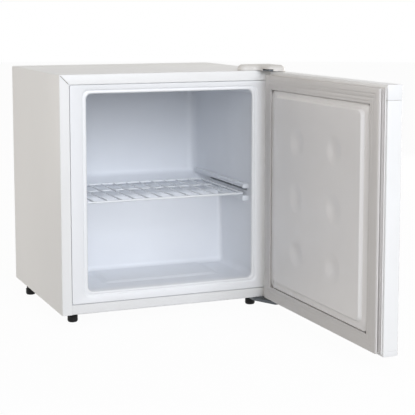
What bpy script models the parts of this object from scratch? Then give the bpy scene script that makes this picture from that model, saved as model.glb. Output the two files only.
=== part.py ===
"""A compact box freezer with its door standing open at a right angle.

Metres, +Z up, front towards -Y. The origin is on the floor, under the middle of the whole
object. The cabinet is modelled from the middle of its lower front edge, the door from its
hinge axis in the closed position.
"""

import math

import bmesh
import bpy
from mathutils import Vector

for old in list(bpy.data.objects):
    bpy.data.objects.remove(old, do_unlink=True)

# Cabinet
CABINET_WIDTH = 0.470
CABINET_HEIGHT = 0.481
CABINET_DEPTH = 0.390
SHEET = 0.001
SHEET_BEND = 0.002
WRAPPER_CORNER = 0.003
FRONT_FLANGE = 0.020
REAR_RETURN = 0.010
RAIL_RETURN = 0.030
FIT = 0.0003
CUT_PAST = 0.010

# Compartment
MOUTH_INSET = 0.042
WALL_INSET = 0.048
FLOOR_HEIGHT = 0.044
LIP_DEPTH = 0.015
LINER_WALL = 0.0015
LINER_CORNER = 0.009
NICHE_INSULATION = 0.050
BACK_DRAFT = 0.004
LEDGE_INSULATION = 0.048
BACK_INSULATION = 0.042
FLOOR_FILLET = 0.010
LEDGE_FILLET = 0.014
BACK_FILLET = 0.012
PLATEAU_WIDTH = 0.247
PLATEAU_FRONT = 0.065
PLATEAU_RISE = 0.004
GUIDE_FRONT = 0.036
GUIDE_LENGTH = 0.220
GUIDE_REACH = 0.009
LOWER_GUIDE_HEIGHT = 0.013
UPPER_GUIDE_HEIGHT = 0.008
GUIDE_PLAY = 0.006
GUIDE_NOSE = 0.0055

# Wire shelf
SHELF_ABOVE_LEDGE = 0.009
SHELF_FRONT = 0.049
SHELF_BACK_GAP = 0.054
SHELF_SIDE_PLAY = 0.0025
FRAME_WIRE = 0.0025
GRID_WIRE = 0.0016
WIRE_PITCH = 0.030
CROSS_WIRE_FROM_FRONT = 0.165
SHELF_CORNER = 0.012
WELD_SINK = 0.0006

# Machine niche and back
NICHE_DEPTH = 0.154
NICHE_TOP = 0.160
NICHE_RETURN = 0.012
CARRIER_SHEET = 0.0015
CARRIER_FRONT_RISE = 0.014
CARRIER_REAR_RISE = 0.024
BEAD_COUNT = 3
BEAD_WIDTH = 0.018
BEAD_DEPTH = 0.0008

# Cooling circuit
EVAPORATOR_TUBE = 0.0032
EVAPORATOR_LEVELS = 5
EVAPORATOR_ABOVE_LEDGE = 0.037
EVAPORATOR_PITCH = 0.042
EVAPORATOR_FRONT = 0.060
EVAPORATOR_TAIL = 0.150
EVAPORATOR_STEP = 0.0077
CONDENSER_TUBE = 0.0024
CONDENSER_LEVELS = 6
CONDENSER_ABOVE_NICHE = 0.030
CONDENSER_PITCH = 0.050
CONDENSER_FRONT = 0.060
CONDENSER_FROM_BACK = 0.045
CONDENSER_BEND = 0.015
CONDENSER_TAIL_BEND = 0.012
TAIL_DROP = 0.020
COMPRESSOR_X = 0.070
COMPRESSOR_FROM_BACK = 0.078
COMPRESSOR_LENGTH = 0.150
COMPRESSOR_WIDTH = 0.116
COMPRESSOR_HEIGHT = 0.124
COMPRESSOR_RIM = 0.003
BASE_SHEET = 0.0025
BASE_HOLE_X = 0.088
BASE_HOLE_Y = 0.044
STUD_RADIUS = 0.0032
GROMMET_RADIUS = 0.010
GROMMET_NECK = 0.006
GROMMET_FOOT = 0.010
GROMMET_HEAD = 0.0045
CONNECTING_TUBE = 0.0032
SUCTION_BEND = 0.0075
TUBE_RISE = 0.0446
PROCESS_HEADING = (-1, -0.5)
PROCESS_REACH = 0.030
PROCESS_RISE = 0.045
CAPILLARY_TUBE = 0.0010
DRIER_RADIUS = 0.0095
DRIER_LENGTH = 0.060
DRIER_INSET = 0.030
DRIER_DROP = 0.0225
DRIER_NECK = 0.0057
DRIER_TAPER = 0.0095
CAPILLARY_DROP = 0.030
RELAY_LENGTH = 0.037
RELAY_WIDTH = 0.040
RELAY_HEIGHT = 0.040
RELAY_BASE = 0.024
RELAY_CORNER = 0.004
THERMOSTAT_X = -0.114
THERMOSTAT_WIDTH = 0.052
THERMOSTAT_DEPTH = 0.034
THERMOSTAT_HEIGHT = 0.064
THERMOSTAT_FROM_BACK = 0.018
THERMOSTAT_CORNER = 0.004
KNOB_RADIUS = 0.014
KNOB_LENGTH = 0.013
KNOB_HEIGHT = 0.044
KNOB_SKIRT = 0.0046
KNOB_SHOULDER = 0.0052
KNOB_DRAFT = 0.0007
KNOB_BAR = 0.0056
LEAD_RADIUS = 0.0022
LEAD_BEND = 0.012
GLAND_INSET = 0.050
GLAND_RADIUS = 0.006
GLAND_BORE = 0.0035
GLAND_FLANGE = 0.008
GLAND_HEAD = 0.0009
GLAND_COLLAR = 0.002

# Feet
FOOT_HEIGHT = 0.027
FOOT_RADIUS = 0.011
FOOT_PAD = 0.0076
FOOT_SHOULDER = 0.0103
FOOT_NECK = 0.009
FOOT_TOP = 0.0086
FOOT_STUD = 0.004
FRONT_STUD_LENGTH = 0.016
REAR_STUD_LENGTH = 0.009
FRONT_FOOT_INSET = 0.036
FRONT_FOOT_Y = 0.053
REAR_FOOT_INSET = 0.017
REAR_FOOT_FROM_BACK = 0.068

# Door
DOOR_ANGLE = math.radians(90)
DOOR_THICKNESS = 0.030
DOOR_GAP = 0.016
DOOR_BOTTOM_GAP = 0.0015
DOOR_TOP_GAP = 0.001
DOOR_HEM = 0.010
DOOR_BEND = 0.0025
PIVOT_INSET = 0.008
TOP_CAP_HEIGHT = 0.027
BOTTOM_CAP_HEIGHT = 0.009
GRIP_WIDTH = 0.130
GRIP_HEIGHT = 0.015
GRIP_DEPTH = 0.014
GRIP_FROM_FREE_EDGE = 0.060
DOOR_LINER_INSET = 0.005
DOOR_LINER_WALL = 0.0015
DOOR_LINER_CORNER = 0.004
PLUG_INSET = 0.049
PLUG_RISE = 0.0106
PLUG_EDGE = 0.009
PLUG_CORNER = 0.016
DIMPLE_RADIUS = 0.030
DIMPLE_DEPTH = 0.004
DIMPLE_SPACING_X = 0.152
DIMPLE_SPACING_Z = 0.110
GASKET_INSET = 0.006
GASKET_WIDTH = 0.029
GASKET_CLEARANCE = 0.0005

# Hinges
PIN_RADIUS = 0.0033
PIN_HEAD = 0.0048
PIN_HEAD_HEIGHT = 0.0018
PIN_REACH = 0.0085
UPPER_PIN_REACH = 0.014
BUSH_RADIUS = 0.0055
BUSH_FLANGE = 0.0074
BRACKET_SHEET = 0.003
LOWER_BRACKET_LENGTH = 0.036
LOWER_BRACKET_WIDTH = 0.050
LOWER_BRACKET_NOSE = 0.024
LOWER_BRACKET_TIP = 0.0143
HINGE_NOSE = 0.0095
COVER_WIDTH = 0.060
COVER_BACK = 0.030
COVER_HEIGHT = 0.0105
COVER_WALL = 0.0015
COVER_CORNER = 0.010
COVER_CROWN = 0.004
UPPER_BRACKET_SHEET = 0.0025

# Facets
CORNER_STEPS = 3
ROUND_SIDES = 24
SMALL_SIDES = 14
TUBE_SIDES = 6
WIRE_SIDES = 8
DIMPLE_RINGS = 4

# Derived places
HALF_WIDTH = CABINET_WIDTH / 2
INNER_SIDE = HALF_WIDTH - SHEET - FIT
NICHE_FRONT = CABINET_DEPTH - NICHE_DEPTH
LOWER_BACK = NICHE_FRONT - NICHE_INSULATION
UPPER_BACK = CABINET_DEPTH - BACK_INSULATION
LEDGE_HEIGHT = NICHE_TOP + LEDGE_INSULATION
SHELF_HEIGHT = LEDGE_HEIGHT + SHELF_ABOVE_LEDGE
EVAPORATOR_LOWEST = LEDGE_HEIGHT + EVAPORATOR_ABOVE_LEDGE
CONDENSER_LOWEST = NICHE_TOP + CONDENSER_ABOVE_NICHE
TAIL_END = NICHE_TOP - TAIL_DROP
CONDENSER_REAR = CABINET_DEPTH - CONDENSER_FROM_BACK
COMPRESSOR_Y = CABINET_DEPTH - COMPRESSOR_FROM_BACK
THERMOSTAT_BACK = CABINET_DEPTH - THERMOSTAT_FROM_BACK
REAR_FOOT_Y = CABINET_DEPTH - REAR_FOOT_FROM_BACK
DRIER_X = DRIER_INSET - HALF_WIDTH
GLAND_X = GLAND_INSET - HALF_WIDTH
PIVOT_X = HALF_WIDTH - PIVOT_INSET
PIVOT_FORWARD = DOOR_GAP + DOOR_THICKNESS - PIVOT_INSET
DOOR_WIDTH = CABINET_WIDTH
FRONT_Y = (DOOR_WIDTH - PIVOT_INSET + PIVOT_FORWARD - CABINET_DEPTH) / 2


# Shape tools
def round_path(points, radii, closed=False, steps=CORNER_STEPS):
    """The path with an arc of the given radius in place of each corner that has one."""
    rounded = []
    for index, radius in enumerate(radii):
        corner = Vector(points[index])
        at_end = index in (0, len(points) - 1)
        if radius == 0 or (at_end and not closed):
            rounded.append(corner)
            continue
        to_last = (Vector(points[index - 1]) - corner).normalized()
        to_next = (Vector(points[(index + 1) % len(points)]) - corner).normalized()
        half = to_last.angle(to_next) / 2
        centre = corner + (to_last + to_next).normalized() * (radius / math.sin(half))
        first = corner + to_last * (radius / math.tan(half)) - centre
        last = corner + to_next * (radius / math.tan(half)) - centre
        sweep = first.angle(last)
        for step in range(steps + 1):
            share = step / steps
            before = math.sin((1 - share) * sweep) / math.sin(sweep)
            after = math.sin(share * sweep) / math.sin(sweep)
            rounded.append(centre + first * before + last * after)
    return rounded


def sheet_section(path, thickness, bend, steps=CORNER_STEPS):
    """Outline of a folded sheet: path is one face, and the sheet lies to the left of it."""
    headings = []
    for start, end in zip(path, path[1:]):
        headings.append((Vector(end) - Vector(start)).normalized())
    offset, path_radii, offset_radii = [], [], []
    for index, corner in enumerate(path):
        before = headings[max(index - 1, 0)]
        after = headings[min(index, len(headings) - 1)]
        left_before = Vector((-before.y, before.x))
        left_after = Vector((-after.y, after.x))
        mitre = (left_before + left_after) / (1 + left_before.dot(left_after))
        offset.append(Vector(corner) + mitre * thickness)
        turn = before.x * after.y - before.y * after.x
        bends = abs(turn) > 0.001
        path_radii.append((bend if turn > 0 else bend - thickness) if bends else 0)
        offset_radii.append((bend - thickness if turn > 0 else bend) if bends else 0)
    inner_face = round_path(offset, offset_radii, steps=steps)
    return round_path(path, path_radii, steps=steps) + inner_face[::-1]


def rounded_rectangle(low, high, radius, steps=CORNER_STEPS):
    """A rectangle from its low to its high corner, with round corners, in two dimensions."""
    corners = [(low[0], low[1]), (high[0], low[1]), (high[0], high[1]), (low[0], high[1])]
    return round_path(corners, [radius] * 4, closed=True, steps=steps)


def circle(radius, sides=ROUND_SIDES):
    turns = [2 * math.pi * side / sides for side in range(sides)]
    return [(radius * math.cos(turn), radius * math.sin(turn)) for turn in turns]


def on_plane(outline, axis, level):
    """A flat outline as points in space, square to the axis: 0 is X, 1 is Y, 2 is Z."""
    points = []
    for first, second in outline:
        point = [first, second]
        point.insert(axis, level)
        points.append(Vector(point))
    return points


def skin(rows, ring=False):
    """A closed mesh over rows of points that each close on themselves."""
    mesh = bmesh.new()
    grid = [[mesh.verts.new(point) for point in row] for row in rows]
    pairs = list(zip(grid, grid[1:]))
    if ring:
        pairs.append((grid[-1], grid[0]))
    else:
        mesh.faces.new(grid[0])
        mesh.faces.new(grid[-1])
    count = len(rows[0])
    for lower, upper in pairs:
        for side in range(count):
            after = (side + 1) % count
            mesh.faces.new((lower[side], lower[after], upper[after], upper[side]))
    bmesh.ops.remove_doubles(mesh, verts=mesh.verts, dist=1e-6)
    bmesh.ops.recalc_face_normals(mesh, faces=mesh.faces)
    return mesh


def prism(outline, axis, low, high):
    return skin([on_plane(outline, axis, low), on_plane(outline, axis, high)])


def turned(profile, axis=2, sides=ROUND_SIDES):
    """A solid of revolution: profile holds a radius and a height for each ring."""
    return skin([on_plane(circle(radius, sides), axis, height) for radius, height in profile])


def turned_ring(profile, axis=2, sides=ROUND_SIDES):
    """A revolved ring with a bore: profile is its closed section of radii and heights."""
    rows = []
    for x, y in circle(1, sides):
        row = []
        for radius, height in profile:
            point = [x * radius, y * radius]
            point.insert(axis, height)
            row.append(Vector(point))
        rows.append(row)
    return skin(rows, ring=True)


def tube(points, radius, sides=TUBE_SIDES, closed=False):
    """A round bar along a path, its sections turned with as little twist as they can."""
    points = [Vector(point) for point in points]
    count = len(points)
    rows, across = [], None
    for index, point in enumerate(points):
        last = points[index - 1] if closed or index else point
        after = points[(index + 1) % count] if closed or index < count - 1 else point
        heading = (after - last).normalized()
        if across is None:
            across = heading.orthogonal()
            if closed:
                across = Vector((0, 0, 1))
        across = (across - heading * across.dot(heading)).normalized()
        third = heading.cross(across)
        rows.append([point + across * a + third * b for a, b in circle(radius, sides)])
    return skin(rows, ring=closed)


# Objects
def finish(name, colour, roughness, metallic=0.0):
    material = bpy.data.materials.new(name)
    material.use_nodes = True
    shader = material.node_tree.nodes["Principled BSDF"]
    shader.inputs["Base Color"].default_value = (*colour, 1)
    shader.inputs["Roughness"].default_value = roughness
    shader.inputs["Metallic"].default_value = metallic
    return material


def add(name, mesh, parent, material=None, place=(0, 0, 0)):
    """A named object from a finished mesh, shaded smooth where its faces turn gently."""
    data = bpy.data.meshes.new(name)
    mesh.to_mesh(data)
    mesh.free()
    data.shade_smooth()
    data.set_sharp_from_angle(angle=math.radians(30))
    piece = bpy.data.objects.new(name, data)
    bpy.context.scene.collection.objects.link(piece)
    piece.parent = parent
    piece.location = place
    if material:
        data.materials.append(material)
    return piece


def combine(piece, operation, tool_mesh, place=(0, 0, 0)):
    """Cuts a tool shape from a piece, or joins it on. The tool stays as a hidden helper."""
    tool = add(piece.name + "_" + operation.lower(), tool_mesh, piece.parent, place=place)
    tool.hide_render = True
    tool.display_type = "WIRE"
    modifier = piece.modifiers.new(tool.name, "BOOLEAN")
    modifier.operation = operation
    modifier.solver = "EXACT"
    modifier.object = tool


def cut(piece, tool_mesh, place=(0, 0, 0)):
    combine(piece, "DIFFERENCE", tool_mesh, place)


def join(piece, tool_mesh, place=(0, 0, 0)):
    combine(piece, "UNION", tool_mesh, place)


def box(low, high):
    outline = [(low[0], low[1]), (high[0], low[1]), (high[0], high[1]), (low[0], high[1])]
    return prism(outline, 2, low[2], high[2])


def upright(radius, low, high):
    return turned([(radius, low), (radius, high)], sides=SMALL_SIDES)


white_steel = finish("white_painted_steel", (0.80, 0.79, 0.77), 0.35)
grey_steel = finish("zinc_plated_steel", (0.45, 0.45, 0.46), 0.40, 0.9)
white_liner = finish("white_polystyrene", (0.82, 0.84, 0.86), 0.45)
white_plastic = finish("white_moulded_plastic", (0.80, 0.80, 0.79), 0.40)
white_wire = finish("white_coated_wire", (0.85, 0.86, 0.87), 0.30)
gasket_vinyl = finish("grey_white_vinyl", (0.62, 0.62, 0.62), 0.55)
foam = finish("polyurethane_foam", (0.78, 0.66, 0.42), 0.90)
black_plastic = finish("black_plastic", (0.015, 0.015, 0.016), 0.55)
black_rubber = finish("black_rubber", (0.02, 0.02, 0.02), 0.80)
black_enamel = finish("black_enamel", (0.012, 0.012, 0.013), 0.35)
copper = finish("copper_tube", (0.72, 0.38, 0.24), 0.35, 1.0)
aluminium = finish("aluminium_tube", (0.75, 0.76, 0.77), 0.40, 1.0)
acetal = finish("natural_acetal", (0.75, 0.74, 0.70), 0.40)

cabinet = bpy.data.objects.new("cabinet_reference", None)
cabinet.location = (0, FRONT_Y, FOOT_HEIGHT)
door = bpy.data.objects.new("door_axis", None)
door.location = (PIVOT_X, FRONT_Y - PIVOT_FORWARD, FOOT_HEIGHT)
door.rotation_euler = (0, 0, DOOR_ANGLE)
for reference in (cabinet, door):
    bpy.context.scene.collection.objects.link(reference)


# Steel wrapper: one folded section, led up the left side, over the top and down the right side
def wrapper_station(corner, share, inset):
    """A point of the wrapper's arch at this inset: corner is 0 at the left and 1 at the right."""
    radius = max(WRAPPER_CORNER - inset, FIT)
    angle = math.pi * (1 - (corner + share) / 2)
    centre_x = (HALF_WIDTH - inset - radius) * (2 * corner - 1)
    centre_z = CABINET_HEIGHT - inset - radius
    return centre_x + radius * math.cos(angle), centre_z + radius * math.sin(angle)


wrapper_section = sheet_section(
    [(REAR_RETURN, CABINET_DEPTH), (0, CABINET_DEPTH), (0, 0), (FRONT_FLANGE, 0)],
    SHEET,
    SHEET_BEND,
)
wrapper_rows = [[(inset - HALF_WIDTH, y, 0) for inset, y in wrapper_section]]
for corner in (0, 1):
    for step in range(CORNER_STEPS + 1):
        row = []
        for inset, y in wrapper_section:
            x, z = wrapper_station(corner, step / CORNER_STEPS, inset)
            row.append((x, y, z))
        wrapper_rows.append(row)
wrapper_rows.append([(HALF_WIDTH - inset, y, 0) for inset, y in wrapper_section])
add("cabinet_wrapper", skin(wrapper_rows), cabinet, white_steel)

# Bottom rail, panel, machine niche and back
rail_half = HALF_WIDTH - FRONT_FLANGE - FIT
rail_path = [(0, FRONT_FLANGE - FIT), (0, 0), (RAIL_RETURN, 0)]
rail_section = sheet_section(rail_path, SHEET, SHEET_BEND)
add("bottom_front_rail", prism(rail_section, 0, -rail_half, rail_half), cabinet, white_steel)

bottom_panel = add(
    "bottom_panel",
    box((-INNER_SIDE, RAIL_RETURN + FIT, 0), (INNER_SIDE, NICHE_FRONT - SHEET - FIT, SHEET)),
    cabinet,
    grey_steel,
)
front_foot_x = HALF_WIDTH - FRONT_FOOT_INSET
for side in (-1, 1):
    hole = upright(FOOT_STUD + FIT, -SHEET, 2 * SHEET)
    cut(bottom_panel, hole, (side * front_foot_x, FRONT_FOOT_Y, 0))

panel_face = CABINET_DEPTH - SHEET - FIT
niche_back = panel_face - SHEET - FIT
niche_path = [
    (NICHE_FRONT, 0),
    (NICHE_FRONT, NICHE_TOP),
    (niche_back, NICHE_TOP),
    (niche_back, NICHE_TOP + NICHE_RETURN),
]
niche_section = sheet_section(niche_path, SHEET, SHEET_BEND)
niche_wall = add(
    "niche_wall", prism(niche_section, 0, -INNER_SIDE, INNER_SIDE), cabinet, grey_steel
)

panel_side = INNER_SIDE - (SHEET_BEND - SHEET)
panel_top = CABINET_HEIGHT - SHEET - FIT - (SHEET_BEND - SHEET)
bead_pitch = (panel_top - NICHE_TOP) / (BEAD_COUNT + 1)
panel_path = [(panel_face, NICHE_TOP)]
for bead in range(1, BEAD_COUNT + 1):
    middle = NICHE_TOP + bead * bead_pitch
    panel_path.append((panel_face, middle - BEAD_WIDTH / 2))
    panel_path.append((panel_face - BEAD_DEPTH, middle - BEAD_WIDTH / 4))
    panel_path.append((panel_face - BEAD_DEPTH, middle + BEAD_WIDTH / 4))
    panel_path.append((panel_face, middle + BEAD_WIDTH / 2))
panel_path.append((panel_face, panel_top))
panel_section = sheet_section(panel_path, SHEET, SHEET_BEND, steps=1)
add("back_panel", prism(panel_section, 0, -panel_side, panel_side), cabinet, white_steel)

carrier_front = NICHE_FRONT + FIT
carrier_back = niche_back
carrier_path = [
    (carrier_front, CARRIER_FRONT_RISE),
    (carrier_front, 0),
    (carrier_back, 0),
    (carrier_back, CARRIER_REAR_RISE),
]
carrier_section = sheet_section(carrier_path, CARRIER_SHEET, SHEET_BEND)
carrier = add(
    "compressor_carrier", prism(carrier_section, 0, -INNER_SIDE, INNER_SIDE), cabinet, grey_steel
)
rear_foot_x = HALF_WIDTH - REAR_FOOT_INSET
for side in (-1, 1):
    hole = upright(FOOT_STUD + FIT, -CARRIER_SHEET, 2 * CARRIER_SHEET)
    cut(carrier, hole, (side * rear_foot_x, REAR_FOOT_Y, 0))
gland_height = CARRIER_REAR_RISE / 2 + CARRIER_SHEET / 2
gland_hole = [(GLAND_RADIUS + FIT, -3 * CARRIER_SHEET), (GLAND_RADIUS + FIT, CARRIER_SHEET)]
gland_cutter = turned(gland_hole, axis=1, sides=SMALL_SIDES)
cut(carrier, gland_cutter, (GLAND_X, carrier_back, gland_height))


# Inner liner: one vacuum formed shell with a front flange, lip, floor, step and ledge
def compartment_row(spread, low, y, corner):
    """The compartment's section at this depth, spread outwards from the wall's own place."""
    half = HALF_WIDTH - WALL_INSET + spread
    high = CABINET_HEIGHT - WALL_INSET + spread
    return on_plane(rounded_rectangle((-half, low), (half, high), corner), 1, y)


def compartment(offset, front):
    """Sections from the mouth to the back wall, on a surface this far outside the inner face."""
    rows = []
    flare = WALL_INSET - MOUTH_INSET
    mouth_drop = FLOOR_HEIGHT - MOUTH_INSET
    for step in range(CORNER_STEPS + 1):
        share = step / CORNER_STEPS
        y = front + (LIP_DEPTH - front) * share
        open_share = (1 - max(y, 0) / LIP_DEPTH) ** 2
        low = FLOOR_HEIGHT - offset - mouth_drop * open_share
        rows.append(compartment_row(offset + flare * open_share, low, y, LINER_CORNER + offset))
    back_radius = BACK_FILLET + offset
    floor_path = [
        (LIP_DEPTH, FLOOR_HEIGHT - offset),
        (LOWER_BACK - BACK_DRAFT / 2 + offset, FLOOR_HEIGHT - offset),
        (LOWER_BACK + BACK_DRAFT / 2 + offset, LEDGE_HEIGHT - offset),
        (UPPER_BACK + offset - back_radius, LEDGE_HEIGHT - offset),
    ]
    radii = [0, FLOOR_FILLET + offset, LEDGE_FILLET - offset, 0]
    for y, low in round_path(floor_path, radii)[1:]:
        rows.append(compartment_row(offset, low, y, LINER_CORNER + offset))
    for step in range(1, CORNER_STEPS + 1):
        angle = step / CORNER_STEPS * math.pi / 2
        shrink = back_radius * (1 - math.cos(angle))
        y = UPPER_BACK + offset - back_radius + back_radius * math.sin(angle)
        corner = max(LINER_CORNER + offset - shrink, offset + FIT)
        rows.append(compartment_row(offset - shrink, LEDGE_HEIGHT - offset + shrink, y, corner))
    return rows


def liner_flange(y):
    inset = FRONT_FLANGE + FIT
    low = (inset - HALF_WIDTH, inset)
    high = (HALF_WIDTH - inset, CABINET_HEIGHT - inset)
    return on_plane(rounded_rectangle(low, high, SHEET), 1, y)


liner_face = FIT
liner_back = liner_face + LINER_WALL
liner_rows = compartment(0, liner_face)[::-1]
liner_rows += [liner_flange(liner_face), liner_flange(liner_back)]
liner_rows += compartment(LINER_WALL, liner_back)
inner_liner = add("inner_liner", skin(liner_rows), cabinet, white_liner)

floor_fillet_y = LOWER_BACK - BACK_DRAFT / 2 - FLOOR_FILLET
wall_middle = FLOOR_FILLET + LINER_WALL / 2
plateau_rows = []
for rise, inset in ((-LINER_WALL / 2, 0), (0, 0), (PLATEAU_RISE, PLATEAU_RISE)):
    half = PLATEAU_WIDTH / 2 - inset
    rear = floor_fillet_y + math.sqrt(wall_middle**2 - (FLOOR_FILLET - rise) ** 2)
    outline = rounded_rectangle((-half, PLATEAU_FRONT + inset), (half, rear), FLOOR_FILLET)
    plateau_rows.append(on_plane(outline, 2, FLOOR_HEIGHT + rise))
join(inner_liner, skin(plateau_rows))

wall_half = HALF_WIDTH - WALL_INSET
shelf_seat = SHELF_HEIGHT - FRAME_WIRE - FIT
upper_guide_low = SHELF_HEIGHT + FRAME_WIRE + GUIDE_PLAY
guides = (
    (shelf_seat - LOWER_GUIDE_HEIGHT, shelf_seat, LOWER_BACK - BACK_DRAFT),
    (upper_guide_low, upper_guide_low + UPPER_GUIDE_HEIGHT, GUIDE_FRONT + GUIDE_LENGTH),
)
for side in (-1, 1):
    root = side * (wall_half + LINER_WALL / 2)
    tip = side * (wall_half - GUIDE_REACH)
    for low, high, rear in guides:
        nose = min(GUIDE_NOSE, (high - low) / 2 - FIT)
        outline = rounded_rectangle((GUIDE_FRONT, low), (rear, high), nose)
        join(inner_liner, prism(outline, 0, root, tip))

# Cooling tubes: an evaporator round the liner and a condenser on the inside of the wrapper
evaporator_x = wall_half + LINER_WALL + FIT + EVAPORATOR_TUBE
evaporator_y = UPPER_BACK + LINER_WALL + FIT + EVAPORATOR_TUBE
evaporator_bend = BACK_FILLET + LINER_WALL + FIT + EVAPORATOR_TUBE
evaporator_levels = [
    EVAPORATOR_LOWEST + level * EVAPORATOR_PITCH for level in range(EVAPORATOR_LEVELS)
]
evaporator_route = [
    (-EVAPORATOR_TAIL, evaporator_y, TAIL_END),
    (-EVAPORATOR_TAIL, evaporator_y, evaporator_levels[0]),
    (-evaporator_x, evaporator_y, evaporator_levels[0]),
    (-evaporator_x, EVAPORATOR_FRONT, evaporator_levels[0]),
]
from_side = -evaporator_x
for height in evaporator_levels[1:-1]:
    evaporator_route.append((from_side, EVAPORATOR_FRONT, height))
    evaporator_route.append((from_side, evaporator_y, height))
    evaporator_route.append((-from_side, evaporator_y, height))
    evaporator_route.append((-from_side, EVAPORATOR_FRONT, height))
    from_side = -from_side
suction_x = math.copysign(EVAPORATOR_TAIL, from_side)
suction_y = evaporator_y + EVAPORATOR_STEP
evaporator_route += [
    (from_side, EVAPORATOR_FRONT, evaporator_levels[-1]),
    (from_side, evaporator_y, evaporator_levels[-1]),
    (suction_x, evaporator_y, evaporator_levels[-1]),
    (suction_x, suction_y, evaporator_levels[-1]),
    (suction_x, suction_y, TAIL_END),
]
evaporator_radii = [evaporator_bend] * len(evaporator_route)
evaporator_radii[-3] = evaporator_radii[-2] = EVAPORATOR_STEP / 2 - FIT
evaporator_path = round_path(evaporator_route, evaporator_radii)
add("evaporator_coil", tube(evaporator_path, EVAPORATOR_TUBE), cabinet, aluminium)

condenser_x = HALF_WIDTH - SHEET - FIT - CONDENSER_TUBE
condenser_top = CABINET_HEIGHT - SHEET - FIT - CONDENSER_TUBE
condenser_levels = [
    CONDENSER_LOWEST + level * CONDENSER_PITCH for level in range(CONDENSER_LEVELS)
]
right_side = [(condenser_x, CONDENSER_REAR, TAIL_END)]
at_front = False
for height in condenser_levels:
    here = CONDENSER_FRONT if at_front else CONDENSER_REAR
    there = CONDENSER_REAR if at_front else CONDENSER_FRONT
    right_side.append((condenser_x, here, height))
    right_side.append((condenser_x, there, height))
    at_front = not at_front
right_side.append((condenser_x, right_side[-1][1], condenser_top))
left_side = [(-x, y, z) for x, y, z in right_side[::-1]]
drier_top = TAIL_END - DRIER_DROP
drier_tail = [
    (-condenser_x, CONDENSER_REAR, TAIL_END),
    (DRIER_X, CONDENSER_REAR, TAIL_END),
    (DRIER_X, CONDENSER_REAR, drier_top + FIT),
]
condenser_route = right_side + left_side[:-1] + drier_tail
condenser_radii = [CONDENSER_BEND] * len(condenser_route)
condenser_radii[-3] = condenser_radii[-2] = CONDENSER_TAIL_BEND
condenser_path = round_path(condenser_route, condenser_radii)
add("condenser_coil", tube(condenser_path, CONDENSER_TUBE), cabinet, copper)

# Foam between wrapper and liner, with room for the tubes, the feet and the machine niche
foam_low = (-INNER_SIDE, SHEET + FIT)
foam_high = (INNER_SIDE, CABINET_HEIGHT - SHEET - FIT)
foam_outline = round_path(
    [foam_low, (foam_high[0], foam_low[1]), foam_high, (foam_low[0], foam_high[1])],
    [0, 0, WRAPPER_CORNER, WRAPPER_CORNER],
    closed=True,
)
foam_front = liner_back + FIT
foam_rear = niche_back - SHEET_BEND - FIT
foam_insulation = add(
    "foam_insulation", prism(foam_outline, 1, foam_front, foam_rear), cabinet, foam
)
niche_cut_low = (-HALF_WIDTH - CUT_PAST, NICHE_FRONT - SHEET - FIT, -CUT_PAST)
niche_cut_high = (HALF_WIDTH + CUT_PAST, CABINET_DEPTH + CUT_PAST, NICHE_TOP + SHEET + FIT)
cut(foam_insulation, box(niche_cut_low, niche_cut_high))
liner_room = compartment(LINER_WALL + FIT, liner_back)
mouth_room = [(point.x, -CUT_PAST, point.z) for point in liner_room[0]]
cut(foam_insulation, skin([mouth_room] + liner_room))
pocket = EVAPORATOR_TUBE + FIT
pocket_outline = [
    (-evaporator_x - pocket, EVAPORATOR_FRONT - pocket - FIT),
    (evaporator_x + pocket, EVAPORATOR_FRONT - pocket - FIT),
    (evaporator_x + pocket, evaporator_y + pocket),
    (-evaporator_x - pocket, evaporator_y + pocket),
]
pocket_low = evaporator_levels[0] - pocket
pocket_high = evaporator_levels[-1] + pocket
cut(foam_insulation, prism(pocket_outline, 2, pocket_low, pocket_high))
evaporator_tails = (
    (-EVAPORATOR_TAIL, evaporator_y, evaporator_levels[0]),
    (suction_x, suction_y, pocket_high),
)
for x, y, high in evaporator_tails:
    cut(foam_insulation, upright(pocket, NICHE_TOP, high - FIT), (x, y, 0))
    cut(niche_wall, upright(pocket + FIT, NICHE_TOP - SHEET, NICHE_TOP + 2 * SHEET), (x, y, 0))
inlet_x = -EVAPORATOR_TAIL
bend_low = (inlet_x - evaporator_bend, evaporator_y - pocket, pocket_low - evaporator_bend)
bend_high = (inlet_x + pocket, evaporator_y + pocket, evaporator_levels[0])
cut(foam_insulation, box(bend_low, bend_high))
step_low = (suction_x - pocket, evaporator_y, evaporator_levels[-1] - 2 * pocket)
step_high = (suction_x + pocket, suction_y + pocket, pocket_high)
cut(foam_insulation, box(step_low, step_high))
channel = CONDENSER_TUBE + 2 * FIT
condenser_end_y = right_side[-1][1]
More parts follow.
